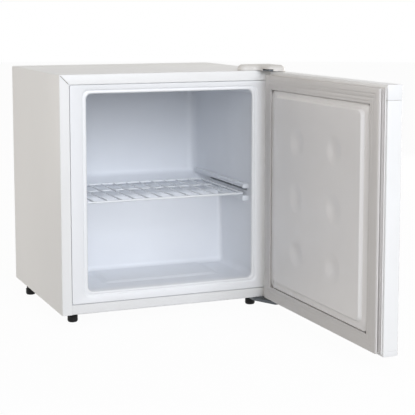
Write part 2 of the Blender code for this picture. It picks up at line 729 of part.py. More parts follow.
for side in (-1, 1):
    inner, outer = side * (condenser_x - channel), side * (HALF_WIDTH + CUT_PAST)
    low = (min(inner, outer), CONDENSER_FRONT - channel, condenser_levels[0] - channel)
    high = (max(inner, outer), CONDENSER_REAR + channel, condenser_levels[-1] + channel)
    cut(foam_insulation, box(low, high))
    bend_reach = CONDENSER_BEND + channel
    low = (min(inner, outer), condenser_end_y - bend_reach, condenser_levels[-1])
    high = (max(inner, outer), condenser_end_y + channel, CABINET_HEIGHT + CUT_PAST)
    cut(foam_insulation, box(low, high))
    low = (min(inner, outer), CONDENSER_REAR - bend_reach, NICHE_TOP)
    high = (max(inner, outer), CONDENSER_REAR + channel, condenser_levels[0])
    cut(foam_insulation, box(low, high))
    low = (min(inner, outer), CONDENSER_REAR - channel, NICHE_TOP - SHEET)
    high = (max(inner, outer), CONDENSER_REAR + channel, NICHE_TOP + 2 * SHEET)
    cut(niche_wall, box(low, high))
    bend_room = condenser_x - bend_reach
    low = (min(side * bend_room, outer), condenser_end_y - channel, condenser_top - bend_reach)
    high = (max(side * bend_room, outer), condenser_end_y + channel, CABINET_HEIGHT + CUT_PAST)
    cut(foam_insulation, box(low, high))
    stud_room = upright(FOOT_STUD + GUIDE_PLAY / 2, -CUT_PAST, FRONT_STUD_LENGTH + GUIDE_PLAY)
    cut(foam_insulation, stud_room, (side * front_foot_x, FRONT_FOOT_Y, 0))
top_low = (-condenser_x, condenser_end_y - channel, condenser_top - channel)
top_high = (condenser_x, condenser_end_y + channel, CABINET_HEIGHT + CUT_PAST)
cut(foam_insulation, box(top_low, top_high))

# Compressor on rubber grommets over the studs of the carrier
stud_places = []
for side in (-1, 1):
    for end in (-1, 1):
        stud_places.append((COMPRESSOR_X + side * BASE_HOLE_X, COMPRESSOR_Y + end * BASE_HOLE_Y))
grommet_low = CARRIER_SHEET + FIT
base_low = grommet_low + GROMMET_FOOT + FIT
base_high = base_low + BASE_SHEET
grommet_top = base_high + FIT + GROMMET_HEAD
grommet_section = [
    (STUD_RADIUS + FIT, grommet_low),
    (GROMMET_RADIUS, grommet_low),
    (GROMMET_RADIUS, base_low - FIT),
    (GROMMET_NECK, base_low - FIT),
    (GROMMET_NECK, base_high + FIT),
    (GROMMET_RADIUS - SHEET, base_high + FIT),
    (GROMMET_RADIUS - 2 * SHEET, grommet_top),
    (STUD_RADIUS + FIT, grommet_top),
]
base_margin = GROMMET_RADIUS + SHEET
base_outline = rounded_rectangle(
    (COMPRESSOR_X - BASE_HOLE_X - base_margin, COMPRESSOR_Y - BASE_HOLE_Y - base_margin),
    (COMPRESSOR_X + BASE_HOLE_X + base_margin, COMPRESSOR_Y + BASE_HOLE_Y + base_margin),
    base_margin,
)
compressor_base = add(
    "compressor_base", prism(base_outline, 2, base_low, base_high), cabinet, black_enamel
)
for number, (x, y) in enumerate(stud_places, start=1):
    place = (x, y, 0)
    stud_top = grommet_top + BASE_SHEET
    join(carrier, upright(STUD_RADIUS, CARRIER_SHEET / 2, stud_top), place)
    cut(compressor_base, upright(GROMMET_NECK + FIT, 0, grommet_top), place)
    grommet = turned_ring(grommet_section, sides=SMALL_SIDES)
    add("compressor_grommet_" + str(number), grommet, cabinet, black_rubber, place)

half_long = COMPRESSOR_LENGTH / 2
half_wide = COMPRESSOR_WIDTH / 2
shell_low = base_high + FIT
# Rings of the shell: share of its half width, share of its height, and the weld rim's reach
shell_rings = (
    (0.66, 0.00, 0),
    (0.88, 0.04, 0),
    (0.97, 0.14, 0),
    (1.00, 0.42, 0),
    (1.00, 0.42, COMPRESSOR_RIM),
    (1.00, 0.46, COMPRESSOR_RIM),
    (1.00, 0.46, 0),
    (0.97, 0.72, 0),
    (0.86, 0.87, 0),
    (0.62, 0.96, 0),
    (0.30, 1.00, 0),
)
shell_rows = []
for share, rise, rim in shell_rings:
    ring = []
    for x, y in circle(1):
        ring.append((x * (half_long * share + rim), y * (half_wide * share + rim)))
    shell_rows.append(on_plane(ring, 2, shell_low + rise * COMPRESSOR_HEIGHT))
compressor_place = (COMPRESSOR_X, COMPRESSOR_Y, 0)
add("compressor_shell", skin(shell_rows), cabinet, black_enamel, compressor_place)


def shell_point(direction, height):
    """Where a tube that heads for the compressor's middle meets the upright part of its shell."""
    x, y = direction
    reach = 1 / math.hypot(x / half_long, y / half_wide)
    gap = 2 * FIT / math.hypot(x, y)
    return (COMPRESSOR_X + x * (reach + gap), COMPRESSOR_Y + y * (reach + gap), height)


tube_height = shell_low + TUBE_RISE
discharge_corner = (condenser_x - 2 * CONDENSER_BEND, COMPRESSOR_Y, tube_height)
discharge_route = [
    (condenser_x, CONDENSER_REAR, TAIL_END - FIT),
    (condenser_x, CONDENSER_REAR, tube_height),
    discharge_corner,
    shell_point((1, 0), tube_height),
]
discharge_path = round_path(discharge_route, [CONDENSER_BEND] * 4)
add("discharge_tube", tube(discharge_path, CONDENSER_TUBE, WIRE_SIDES), cabinet, copper)

suction_route = [
    (suction_x, suction_y, TAIL_END - FIT),
    (suction_x, suction_y, tube_height),
    shell_point((suction_x - COMPRESSOR_X, suction_y - COMPRESSOR_Y), tube_height),
]
suction_path = round_path(suction_route, [SUCTION_BEND] * 3)
add("suction_tube", tube(suction_path, CONNECTING_TUBE, WIRE_SIDES), cabinet, copper)

process_start = Vector(shell_point(PROCESS_HEADING, tube_height))
process_corner = process_start + Vector((*PROCESS_HEADING, 0)) * PROCESS_REACH
process_route = [process_start, process_corner, process_corner + Vector((0, 0, PROCESS_RISE))]
process_path = round_path(process_route, [CONDENSER_BEND] * 3)
add("process_tube", tube(process_path, CONNECTING_TUBE, WIRE_SIDES), cabinet, copper)

drier_low = drier_top - DRIER_LENGTH
drier_profile = [
    (CONDENSER_TUBE + SHEET, drier_low),
    (CONDENSER_TUBE + SHEET, drier_low + DRIER_NECK),
    (DRIER_RADIUS, drier_low + DRIER_NECK + DRIER_TAPER),
    (DRIER_RADIUS, drier_top - DRIER_NECK - DRIER_TAPER),
    (CONDENSER_TUBE + SHEET, drier_top - DRIER_NECK),
    (CONDENSER_TUBE + SHEET, drier_top),
]
add("filter_drier", turned(drier_profile), cabinet, copper, (DRIER_X, CONDENSER_REAR, 0))

capillary_dip = drier_low - CAPILLARY_DROP
capillary_route = [
    (DRIER_X, CONDENSER_REAR, drier_low - FIT),
    (DRIER_X, CONDENSER_REAR, capillary_dip),
    (-EVAPORATOR_TAIL, evaporator_y, capillary_dip),
    (-EVAPORATOR_TAIL, evaporator_y, TAIL_END - FIT),
]
capillary_path = round_path(capillary_route, [CONDENSER_BEND] * 4)
add("capillary_tube", tube(capillary_path, CAPILLARY_TUBE), cabinet, copper)

# Electrical pieces in the niche
relay_right = COMPRESSOR_X - half_long - FIT
relay_low = (relay_right - RELAY_LENGTH, COMPRESSOR_Y - RELAY_WIDTH / 2)
relay_high = (relay_right, COMPRESSOR_Y + RELAY_WIDTH / 2)
relay_outline = rounded_rectangle(relay_low, relay_high, RELAY_CORNER)
relay_cover = prism(relay_outline, 2, RELAY_BASE, RELAY_BASE + RELAY_HEIGHT)
add("relay_cover", relay_cover, cabinet, black_plastic)

thermostat_half = THERMOSTAT_WIDTH / 2
thermostat_low = (THERMOSTAT_X - thermostat_half, CARRIER_SHEET + FIT)
thermostat_high = (THERMOSTAT_X + thermostat_half, CARRIER_SHEET + FIT + THERMOSTAT_HEIGHT)
thermostat_outline = rounded_rectangle(thermostat_low, thermostat_high, THERMOSTAT_CORNER)
thermostat_front = THERMOSTAT_BACK - THERMOSTAT_DEPTH
thermostat_housing = prism(thermostat_outline, 1, thermostat_front, THERMOSTAT_BACK)
add("thermostat_housing", thermostat_housing, cabinet, white_plastic)

knob_profile = [
    (KNOB_RADIUS, FIT),
    (KNOB_RADIUS, KNOB_SKIRT),
    (KNOB_RADIUS - 2 * KNOB_DRAFT, KNOB_SHOULDER),
    (KNOB_RADIUS - 3 * KNOB_DRAFT, KNOB_LENGTH),
]
knob_place = (THERMOSTAT_X, THERMOSTAT_BACK, KNOB_HEIGHT)
knob = add("thermostat_knob", turned(knob_profile, axis=1), cabinet, white_plastic, knob_place)
for side in (-1, 1):
    near, far = side * KNOB_BAR / 2, side * 2 * KNOB_RADIUS
    low = (min(near, far), KNOB_SHOULDER + FIT, -2 * KNOB_RADIUS)
    high = (max(near, far), 2 * KNOB_LENGTH, 2 * KNOB_RADIUS)
    cut(knob, box(low, high), knob_place)

lead_start = (THERMOSTAT_X + thermostat_half + FIT, THERMOSTAT_BACK - THERMOSTAT_DEPTH / 2)
lead_end = (relay_right - RELAY_LENGTH - FIT, COMPRESSOR_Y)
lead_height = RELAY_BASE + RELAY_HEIGHT / 2
lead_middle = (lead_start[0] + lead_end[0]) / 2
lead_route = [
    (*lead_start, lead_height),
    (lead_middle, lead_start[1], lead_height),
    (lead_middle, lead_end[1], lead_height),
    (*lead_end, lead_height),
]
lead_path = round_path(lead_route, [LEAD_BEND] * 4)
add("relay_lead", tube(lead_path, LEAD_RADIUS, WIRE_SIDES), cabinet, black_plastic)

gland_inside = -CARRIER_SHEET - FIT
gland_section = [
    (GLAND_BORE, gland_inside - 2 * GLAND_COLLAR),
    (GLAND_RADIUS, gland_inside - 2 * GLAND_COLLAR),
    (GLAND_FLANGE, gland_inside - GLAND_COLLAR),
    (GLAND_FLANGE, gland_inside),
    (GLAND_RADIUS, gland_inside),
    (GLAND_RADIUS, FIT),
    (GLAND_FLANGE, FIT),
    (GLAND_FLANGE, GLAND_HEAD),
    (GLAND_BORE, GLAND_HEAD),
]
gland_place = (GLAND_X, carrier_back, gland_height)
cord_gland = turned_ring(gland_section, axis=1, sides=SMALL_SIDES)
add("cord_gland", cord_gland, cabinet, black_rubber, gland_place)


# Feet: levelling feet in front, fixed feet behind
def foot(stud_length):
    return turned(
        [
            (FOOT_RADIUS, -FOOT_HEIGHT),
            (FOOT_RADIUS, FOOT_PAD - FOOT_HEIGHT),
            (FOOT_NECK, FOOT_SHOULDER - FOOT_HEIGHT),
            (FOOT_TOP, -FIT),
            (FOOT_STUD, -FIT),
            (FOOT_STUD, stud_length),
        ]
    )


for side, hand in ((-1, "left"), (1, "right")):
    place = (side * front_foot_x, FRONT_FOOT_Y, 0)
    add("front_" + hand + "_foot", foot(FRONT_STUD_LENGTH), cabinet, black_plastic, place)
    place = (side * rear_foot_x, REAR_FOOT_Y, 0)
    add("rear_" + hand + "_foot", foot(REAR_STUD_LENGTH), cabinet, black_plastic, place)

# Wire shelf: a frame of thick wire, thin wires from front to back and one cross wire below them
shelf_half = wall_half - SHELF_SIDE_PLAY - FRAME_WIRE
shelf_rear = UPPER_BACK - SHELF_BACK_GAP
frame_low = (-shelf_half, SHELF_FRONT)
frame_high = (shelf_half, shelf_rear)
frame_path = on_plane(rounded_rectangle(frame_low, frame_high, SHELF_CORNER), 2, SHELF_HEIGHT)
frame_wire = tube(frame_path, FRAME_WIRE, WIRE_SIDES, closed=True)
wire_shelf = add("wire_shelf", frame_wire, cabinet, white_wire)
half_count = int((shelf_half - FRAME_WIRE) / WIRE_PITCH)
for wire in range(-half_count, half_count + 1):
    x = wire * WIRE_PITCH
    ends = [(x, SHELF_FRONT, SHELF_HEIGHT), (x, shelf_rear, SHELF_HEIGHT)]
    join(wire_shelf, tube(ends, GRID_WIRE, WIRE_SIDES))
cross_height = SHELF_HEIGHT - 2 * GRID_WIRE + WELD_SINK
cross_y = SHELF_FRONT + CROSS_WIRE_FROM_FRONT
cross_half = wall_half - GUIDE_REACH - SHELF_SIDE_PLAY
cross_ends = [(-cross_half, cross_y, cross_height), (cross_half, cross_y, cross_height)]
join(wire_shelf, tube(cross_ends, GRID_WIRE, WIRE_SIDES))

# Door: steel skin between two end caps, modelled closed from the hinge axis
free_edge = PIVOT_INSET - DOOR_WIDTH
hinge_edge = PIVOT_INSET
outer_face = -PIVOT_INSET
inner_face = DOOR_THICKNESS - PIVOT_INSET
door_low = DOOR_BOTTOM_GAP
door_high = CABINET_HEIGHT - DOOR_TOP_GAP
skin_path = [
    (free_edge + DOOR_HEM, inner_face),
    (free_edge, inner_face),
    (free_edge, outer_face),
    (hinge_edge, outer_face),
    (hinge_edge, inner_face),
    (hinge_edge - DOOR_HEM, inner_face),
]
skin_low = door_low + BOTTOM_CAP_HEIGHT + FIT
skin_high = door_high - TOP_CAP_HEIGHT - FIT
skin_section = sheet_section(skin_path, SHEET, DOOR_BEND)
add("door_skin", prism(skin_section, 2, skin_low, skin_high), door, white_steel)

cap_outline = rounded_rectangle((free_edge, outer_face), (hinge_edge, inner_face), DOOR_BEND)
top_cap = add(
    "door_top_cap",
    prism(cap_outline, 2, door_high - TOP_CAP_HEIGHT, door_high),
    door,
    white_plastic,
)
bush_depth = UPPER_PIN_REACH + FIT
bush_hole = upright(BUSH_RADIUS + FIT, door_high - bush_depth - FIT, door_high + CUT_PAST)
cut(top_cap, bush_hole)
grip_low = (free_edge + GRIP_FROM_FREE_EDGE, door_high - TOP_CAP_HEIGHT / 2 - GRIP_HEIGHT / 2)
grip_high = (grip_low[0] + GRIP_WIDTH, grip_low[1] + GRIP_HEIGHT)
grip_outline = rounded_rectangle(grip_low, grip_high, GRIP_HEIGHT / 2 - FIT)
cut(top_cap, prism(grip_outline, 1, outer_face - CUT_PAST, outer_face + GRIP_DEPTH))

bottom_cap = add(
    "door_bottom_cap",
    prism(cap_outline, 2, door_low, door_low + BOTTOM_CAP_HEIGHT),
    door,
    white_plastic,
)
cut(bottom_cap, upright(BUSH_RADIUS + FIT, -CUT_PAST, CUT_PAST + BOTTOM_CAP_HEIGHT))

foam_inset = SHEET + FIT
door_foam_outline = rounded_rectangle(
    (free_edge + foam_inset, outer_face + foam_inset),
    (hinge_edge - foam_inset, inner_face - foam_inset),
    DOOR_BEND,
)
door_foam = prism(door_foam_outline, 2, skin_low + FIT, skin_high - FIT)
add("door_foam", door_foam, door, foam)


# Door liner: a sheet with a raised plug, pressed in at six round dimples
def door_row(inset, y, corner):
    low = (free_edge + inset, door_low + inset)
    high = (hinge_edge - inset, door_high - inset)
    return on_plane(rounded_rectangle(low, high, corner), 1, y)


sheet_low = inner_face + FIT
sheet_high = sheet_low + DOOR_LINER_WALL
plug_face = sheet_high + PLUG_RISE
door_liner_rows = [
    door_row(DOOR_LINER_INSET, sheet_low, DOOR_LINER_CORNER),
    door_row(DOOR_LINER_INSET, sheet_high, DOOR_LINER_CORNER),
    door_row(PLUG_INSET, sheet_high, PLUG_CORNER),
]
for step in range(1, CORNER_STEPS + 1):
    angle = step / CORNER_STEPS * math.pi / 2
    inset = PLUG_INSET + PLUG_EDGE * (1 - math.cos(angle))
    rise = sheet_high + PLUG_RISE * math.sin(angle)
    door_liner_rows.append(door_row(inset, rise, PLUG_CORNER))
door_liner = add("door_liner", skin(door_liner_rows), door, white_liner)
dimple_ball = (DIMPLE_RADIUS**2 + DIMPLE_DEPTH**2) / (2 * DIMPLE_DEPTH)
dimple_angle = math.asin(DIMPLE_RADIUS / dimple_ball)
dimple_profile = []
for ring in range(1, DIMPLE_RINGS + 1):
    angle = dimple_angle * ring / DIMPLE_RINGS
    drop = dimple_ball * math.cos(angle) - (dimple_ball - DIMPLE_DEPTH)
    dimple_profile.append((dimple_ball * math.sin(angle), plug_face - drop))
dimple_profile.append((DIMPLE_RADIUS, plug_face + DIMPLE_DEPTH))
door_middle_x = (free_edge + hinge_edge) / 2
door_middle_z = (door_low + door_high) / 2
for column in (-0.5, 0.5):
    for line in (-1, 0, 1):
        x = door_middle_x + column * DIMPLE_SPACING_X
        z = door_middle_z + line * DIMPLE_SPACING_Z
        cut(door_liner, turned(dimple_profile, axis=1), (x, 0, z))

# Door gasket: a bellows section round the door, with its magnet face towards the cabinet.
# Its folds are shares of the section's width and height, from the root to the magnet face.
gasket_base = sheet_high + FIT
gasket_height = PIVOT_FORWARD - GASKET_CLEARANCE - gasket_base
gasket_half_section = (
    (0.14, 0.00),
    (0.14, 0.12),
    (0.24, 0.24),
    (0.04, 0.46),
    (0.18, 0.62),
    (0.00, 0.80),
    (0.00, 0.96),
    (0.02, 1.00),
)
gasket_section = list(gasket_half_section)
gasket_section += [(1 - across, rise) for across, rise in gasket_half_section[::-1]]
gasket_corners = ((-1, -1), (1, -1), (1, 1), (-1, 1))
gasket_rows = []
for x_side, z_side in gasket_corners:
    row = []
    for across, rise in gasket_section:
        inset = GASKET_INSET + across * GASKET_WIDTH
        x = hinge_edge - inset if x_side > 0 else free_edge + inset
        z = door_high - inset if z_side > 0 else door_low + inset
        row.append((x, gasket_base + rise * gasket_height, z))
    gasket_rows.append(row)
add("door_gasket", skin(gasket_rows, ring=True), door, gasket_vinyl)

# Hinges: brackets on the cabinet carry the pins, bushes in the door caps turn on them
pin_place = (PIVOT_X, -PIVOT_FORWARD, 0)
lower_top = -FIT
lower_low = lower_top - BRACKET_SHEET
bracket_right = INNER_SIDE
bracket_left = bracket_right - LOWER_BRACKET_WIDTH
bracket_nose = -PIVOT_FORWARD - LOWER_BRACKET_TIP
lower_outline = round_path(
    [
        (bracket_left, LOWER_BRACKET_LENGTH),
        (bracket_left, 0),
        (bracket_right - LOWER_BRACKET_NOSE, bracket_nose),
        (bracket_right, bracket_nose),
        (bracket_right, LOWER_BRACKET_LENGTH),
    ],
    [SHEET_BEND, HINGE_NOSE, SHEET_BEND, HINGE_NOSE, SHEET_BEND],
    closed=True,
)
lower_bracket = add(
    "lower_hinge_bracket", prism(lower_outline, 2, lower_low, lower_top), cabinet, grey_steel
)
cut(lower_bracket, upright(PIN_RADIUS + FIT, lower_low - CUT_PAST, CUT_PAST), pin_place)
lower_pin = [
    (PIN_HEAD, lower_low - FIT - PIN_HEAD_HEIGHT),
    (PIN_HEAD, lower_low - FIT),
    (PIN_RADIUS, lower_low - FIT),
    (PIN_RADIUS, door_low + PIN_REACH),
]
add("lower_hinge_pin", turned(lower_pin, sides=SMALL_SIDES), cabinet, grey_steel, pin_place)

upper_low = CABINET_HEIGHT + FIT
upper_top = upper_low + UPPER_BRACKET_SHEET
cover_high_x = HALF_WIDTH - SHEET
cover_front = -PIVOT_FORWARD - HINGE_NOSE


def cover_row(inset, z):
    low = (cover_high_x - COVER_WIDTH + inset, cover_front + inset)
    high = (cover_high_x - inset, COVER_BACK - inset)
    return on_plane(rounded_rectangle(low, high, COVER_CORNER - inset), 2, z)


cover_seat = upper_low
cover_top = CABINET_HEIGHT + COVER_HEIGHT
cover_outer, cover_inner = [], []
for step in range(CORNER_STEPS + 1):
    angle = step / CORNER_STEPS * math.pi / 2
    inset = COVER_CROWN * (1 - math.cos(angle))
    drop = COVER_CROWN * (1 - math.sin(angle))
    cover_outer.append(cover_row(inset, cover_top - drop))
    cover_inner.append(cover_row(inset + COVER_WALL, cover_top - COVER_WALL - drop))
cover_rows = cover_inner[::-1]
cover_rows += [cover_row(COVER_WALL, cover_seat), cover_row(0, cover_seat)]
cover_rows += cover_outer
add("upper_hinge_cover", skin(cover_rows), cabinet, white_plastic)

bracket_row = cover_row(COVER_WALL + FIT, upper_low)
upper_outline = [(point.x, point.y) for point in bracket_row]
upper_bracket = add(
    "upper_hinge_bracket", prism(upper_outline, 2, upper_low, upper_top), cabinet, grey_steel
)
cut(upper_bracket, upright(PIN_RADIUS + FIT, upper_low - CUT_PAST, upper_top + CUT_PAST), pin_place)
upper_pin = [
    (PIN_RADIUS, door_high - UPPER_PIN_REACH + FIT),
    (PIN_RADIUS, upper_top + FIT),
    (PIN_HEAD, upper_top + FIT),
    (PIN_HEAD, upper_top + FIT + PIN_HEAD_HEIGHT),
]
add("upper_hinge_pin", turned(upper_pin, sides=SMALL_SIDES), cabinet, grey_steel, pin_place)

pin_bore = PIN_RADIUS + FIT
upper_bush = [
    (pin_bore, door_high - UPPER_PIN_REACH),
    (BUSH_RADIUS, door_high - UPPER_PIN_REACH),
    (BUSH_RADIUS, door_high + FIT),
    (BUSH_FLANGE, door_high + FIT),
    (BUSH_FLANGE, upper_low - FIT),
    (pin_bore, upper_low - FIT),
]
add("upper_door_bush", turned_ring(upper_bush, sides=SMALL_SIDES), door, acetal)
lower_bush = [
    (pin_bore, lower_top + FIT),
    (BUSH_FLANGE, lower_top + FIT),
    (BUSH_FLANGE, door_low - FIT),
    (BUSH_RADIUS, door_low - FIT),
    (BUSH_RADIUS, door_low + BOTTOM_CAP_HEIGHT - FIT),
    (pin_bore, door_low + BOTTOM_CAP_HEIGHT - FIT),
]
add("lower_door_bush", turned_ring(lower_bush, sides=SMALL_SIDES), door, acetal)
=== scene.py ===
"""A compact box freezer with its door open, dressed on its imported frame.

Metres, +Z up, front towards -Y. The sections follow the order in which the freezer is put together.
"""

import math

import bmesh
import bpy
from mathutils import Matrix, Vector


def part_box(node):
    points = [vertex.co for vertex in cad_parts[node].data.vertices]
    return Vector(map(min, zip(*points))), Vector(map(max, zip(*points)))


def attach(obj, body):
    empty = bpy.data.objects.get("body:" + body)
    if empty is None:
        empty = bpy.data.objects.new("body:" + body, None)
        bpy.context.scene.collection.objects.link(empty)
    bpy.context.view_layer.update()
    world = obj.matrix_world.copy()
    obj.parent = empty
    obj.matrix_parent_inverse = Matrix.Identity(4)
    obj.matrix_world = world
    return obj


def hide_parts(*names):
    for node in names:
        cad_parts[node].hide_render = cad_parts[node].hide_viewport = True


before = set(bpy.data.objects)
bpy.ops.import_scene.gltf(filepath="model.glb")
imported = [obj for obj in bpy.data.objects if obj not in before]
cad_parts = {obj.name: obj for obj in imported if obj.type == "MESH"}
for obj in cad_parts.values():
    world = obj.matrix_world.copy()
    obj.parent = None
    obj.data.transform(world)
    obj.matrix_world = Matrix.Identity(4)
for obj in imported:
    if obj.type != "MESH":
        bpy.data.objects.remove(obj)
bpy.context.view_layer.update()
bpy.ops.object.select_all(action="DESELECT")


# Camera: the photograph is taken from the front left, about two and a half metres away.
# Its frame is cut below the lens's middle, so the sensor is shifted down a little.
PHOTO_PIXELS = 415
FOCAL_PIXELS = 1226
SENSOR_WIDTH = 36
SENSOR_SHIFT = -0.12
CAMERA_PLACE = (-0.8783, -2.2621, 0.6399)
LOOK_DOWN = 7.03
LOOK_RIGHT = 22.42

bpy.ops.object.camera_add(
    location=CAMERA_PLACE,
    rotation=(math.radians(90 - LOOK_DOWN), 0, math.radians(-LOOK_RIGHT)),
)
camera = bpy.context.object
camera.data.sensor_width = SENSOR_WIDTH
camera.data.lens = SENSOR_WIDTH * FOCAL_PIXELS / PHOTO_PIXELS
camera.data.shift_y = SENSOR_SHIFT
bpy.context.scene.camera = camera
bpy.context.scene.view_settings.view_transform = "Standard"


# Studio: a white sweep in light from all round that fades upward, with a large soft box in front.
# Two weaker fills light the sides. The camera sees plain white, and the floor keeps a soft shadow.
FADE_START = 0.3
FADE_END = 1
LEVEL_LIGHT = 0.54
TOP_LIGHT = 0.31
FLOOR_RADIUS = 12
FLOOR_DROP = 0.0004
PAPER_GLOW = 0.96
# Each lamp: its place, its tilt and turn in degrees, its width and height, its watts and its colour.
LAMPS = (
    ((-0.2, -3.2, 1.5), 70, -3, 2.4, 1.6, 82, "F1F6FF"),
    ((-2.4, 1.9, 0.62), 90, -125, 2.0, 1.2, 16, "FFF8F0"),
    ((2.5, 1.3, 0.62), 90, 115, 2.0, 1.2, 30, "FFF8F0"),
)


def linear(hex_colour):
    """An sRGB hex colour as linear red, green, blue and alpha."""
    channels = []
    for start in (0, 2, 4):
        share = int(hex_colour[start : start + 2], 16) / 255
        channels.append(share / 12.92 if share <= 0.04045 else ((share + 0.055) / 1.055) ** 2.4)
    return (*channels, 1)


def node(tree, kind, inputs=(), **settings):
    """Adds one shader node with its settings, and its inputs as values or as links from other nodes."""
    made = tree.nodes.new(kind)
    for name, value in settings.items():
        setattr(made, name, value)
    for socket, value in dict(inputs).items():
        if isinstance(value, bpy.types.NodeSocket):
            tree.links.new(value, made.inputs[socket])
        else:
            made.inputs[socket].default_value = value
    return made


def seen_directly(tree):
    """1 for rays from the camera, a reflection or a clear body, and 0 for rays that only bring light."""
    path = node(tree, "ShaderNodeLightPath").outputs
    mirror = node(
        tree,
        "ShaderNodeMath",
        {0: path["Is Glossy Ray"], 1: path["Is Transmission Ray"]},
        operation="MAXIMUM",
    )
    return node(
        tree, "ShaderNodeMath", {0: path["Is Camera Ray"], 1: mirror.outputs[0]}, operation="MAXIMUM"
    ).outputs[0]


world = bpy.data.worlds.new("white_studio")
bpy.context.scene.world = world
world.use_nodes = True
sky = world.node_tree
sky.nodes.clear()
direction = node(sky, "ShaderNodeTexCoord").outputs["Generated"]
upward = node(sky, "ShaderNodeSeparateXYZ", {0: direction}).outputs["Z"]
fading = node(
    sky,
    "ShaderNodeMapRange",
    {
        "Value": upward,
        "From Min": FADE_START,
        "From Max": FADE_END,
        "To Min": LEVEL_LIGHT,
        "To Max": TOP_LIGHT,
    },
)
light = node(sky, "ShaderNodeBackground", {"Color": linear("F8F2EB"), "Strength": fading.outputs[0]})
white = node(sky, "ShaderNodeBackground", {"Color": linear("FFFFFF"), "Strength": 1})
sky_look = node(
    sky, "ShaderNodeMixShader", {0: seen_directly(sky), 1: light.outputs[0], 2: white.outputs[0]}
)
node(sky, "ShaderNodeOutputWorld", {"Surface": sky_look.outputs[0]})

bpy.ops.mesh.primitive_circle_add(
    vertices=64, radius=FLOOR_RADIUS, fill_type="NGON", location=(0, 0, -FLOOR_DROP)
)
floor = bpy.context.object
floor.name = "studio_floor"
paper = bpy.data.materials.new("white_paper_sweep")
paper.use_nodes = True
sweep = paper.node_tree
sweep.nodes.clear()
matt = node(sweep, "ShaderNodeBsdfDiffuse", {"Color": linear("F6F6F6")})
bounce = node(sweep, "ShaderNodeBsdfDiffuse", {"Color": linear("B8B8B8")})
glow = node(
    sweep, "ShaderNodeEmission", {"Color": linear("FFFFFF"), "Strength": seen_directly(sweep)}
)
lifted = node(sweep, "ShaderNodeMixShader", {0: PAPER_GLOW, 1: matt.outputs[0], 2: glow.outputs[0]})
paper_look = node(
    sweep, "ShaderNodeMixShader", {0: seen_directly(sweep), 1: bounce.outputs[0], 2: lifted.outputs[0]}
)
node(sweep, "ShaderNodeOutputMaterial", {"Surface": paper_look.outputs[0]})
floor.data.materials.append(paper)

for lamp_place, tilt, turn, lamp_width, lamp_height, watts, colour in LAMPS:
    bpy.ops.object.light_add(
        type="AREA", location=lamp_place, rotation=(math.radians(tilt), 0, math.radians(turn))
    )
    lamp = bpy.context.object.data
    lamp.shape = "RECTANGLE"
    lamp.size = lamp_width
    lamp.size_y = lamp_height
    lamp.energy = watts
    lamp.color = linear(colour)[:3]


# Steel wrapper: one folded sheet over both sides and the top, 1 mm thick, painted white.
# It turns in at the front to a flange with mitred top corners, and at the back to a narrow return
# that takes the back panel's screws.
STEEL = 0.001
FLANGE = 0.020
REAR_RETURN = 0.010
TOP_CORNER = 0.003
FOLD = 0.002
MITRE_GAP = 0.0011
MITRE_SHORT = 0.0025
TINY = 0.0001
SHARP = math.radians(60)
SMOOTH = math.radians(38)
# A face looks along an axis when its normal's share on that axis is larger than this.
FACING = 0.5
# Sockets of the node that mixes two colours.
COLOUR_A = 6
COLOUR_B = 7
COLOUR_OUT = 2
PATCH_DETAIL = 3.0
GRAIN_DETAIL = 2.0
NOISE_LOW = 0.3
NOISE_HIGH = 0.7


def block(name, low, high):
    """A new cube from its low to its high corner, opened in edit mode."""
    bpy.ops.object.select_all(action="DESELECT")
    low, high = Vector(low), Vector(high)
    bpy.ops.mesh.primitive_cube_add(size=1, location=(low + high) / 2)
    piece = bpy.context.object
    piece.name = name
    piece.scale = high - low
    bpy.ops.object.transform_apply()
    bpy.ops.object.mode_set(mode="EDIT")
    return piece


def pick(kind, test):
    """In edit mode, selects the vertices, edges or faces whose middle passes the test."""
    bpy.ops.mesh.select_mode(type=kind)
    bpy.ops.mesh.select_all(action="DESELECT")
    data = bpy.context.edit_object.data
    mesh = bmesh.from_edit_mesh(data)
    items = {"VERT": mesh.verts, "EDGE": mesh.edges, "FACE": mesh.faces}[kind]
    for item in items:
        corners = [item] if kind == "VERT" else list(item.verts)
        middle = sum((corner.co for corner in corners), Vector()) / len(corners)
        if test(middle, item):
            item.select_set(True)
    mesh.select_flush_mode()
    bmesh.update_edit_mesh(data)


def pick_sharp():
    """In edit mode, selects the edges at sharp corners."""
    bpy.ops.mesh.select_all(action="DESELECT")
    bpy.ops.mesh.edges_select_sharp(sharpness=SHARP)


def bevel(size, segments):
    """In edit mode, rounds the selected edges."""
    bpy.ops.mesh.bevel(offset=size, segments=segments, affect="EDGES")


def thicken(piece, thickness):
    """Leaves edit mode and gives a sheet its thickness, behind its faces."""
    bpy.ops.object.mode_set(mode="OBJECT")
    wall = piece.modifiers.new("wall", "SOLIDIFY")
    wall.thickness = thickness
    wall.offset = -1
    wall.use_even_offset = True
    bpy.ops.object.modifier_apply(modifier="wall")


def active(piece):
    """Makes this piece the only selected one."""
    bpy.ops.object.select_all(action="DESELECT")
    piece.select_set(True)
    bpy.context.view_layer.objects.active = piece


def dress(piece, finish, body, slot, *nodes):
    """Shades a finished piece, gives it its finish, and lets it ride on a body in place of CAD nodes."""
    bpy.ops.object.mode_set(mode="OBJECT")
    active(piece)
    bpy.ops.object.shade_smooth_by_angle(angle=SMOOTH)
    piece.data.name = piece.name
    piece.data.materials.clear()
    piece.data.materials.append(finish)
    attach(piece, body)
    if nodes:
        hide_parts(*nodes)


def modify(piece, kind, **settings):
    """Adds one modifier and applies it."""
    active(piece)
    change = piece.modifiers.new(kind.lower(), kind)
    for name, value in settings.items():
        setattr(change, name, value)
    bpy.ops.object.modifier_apply(modifier=change.name)


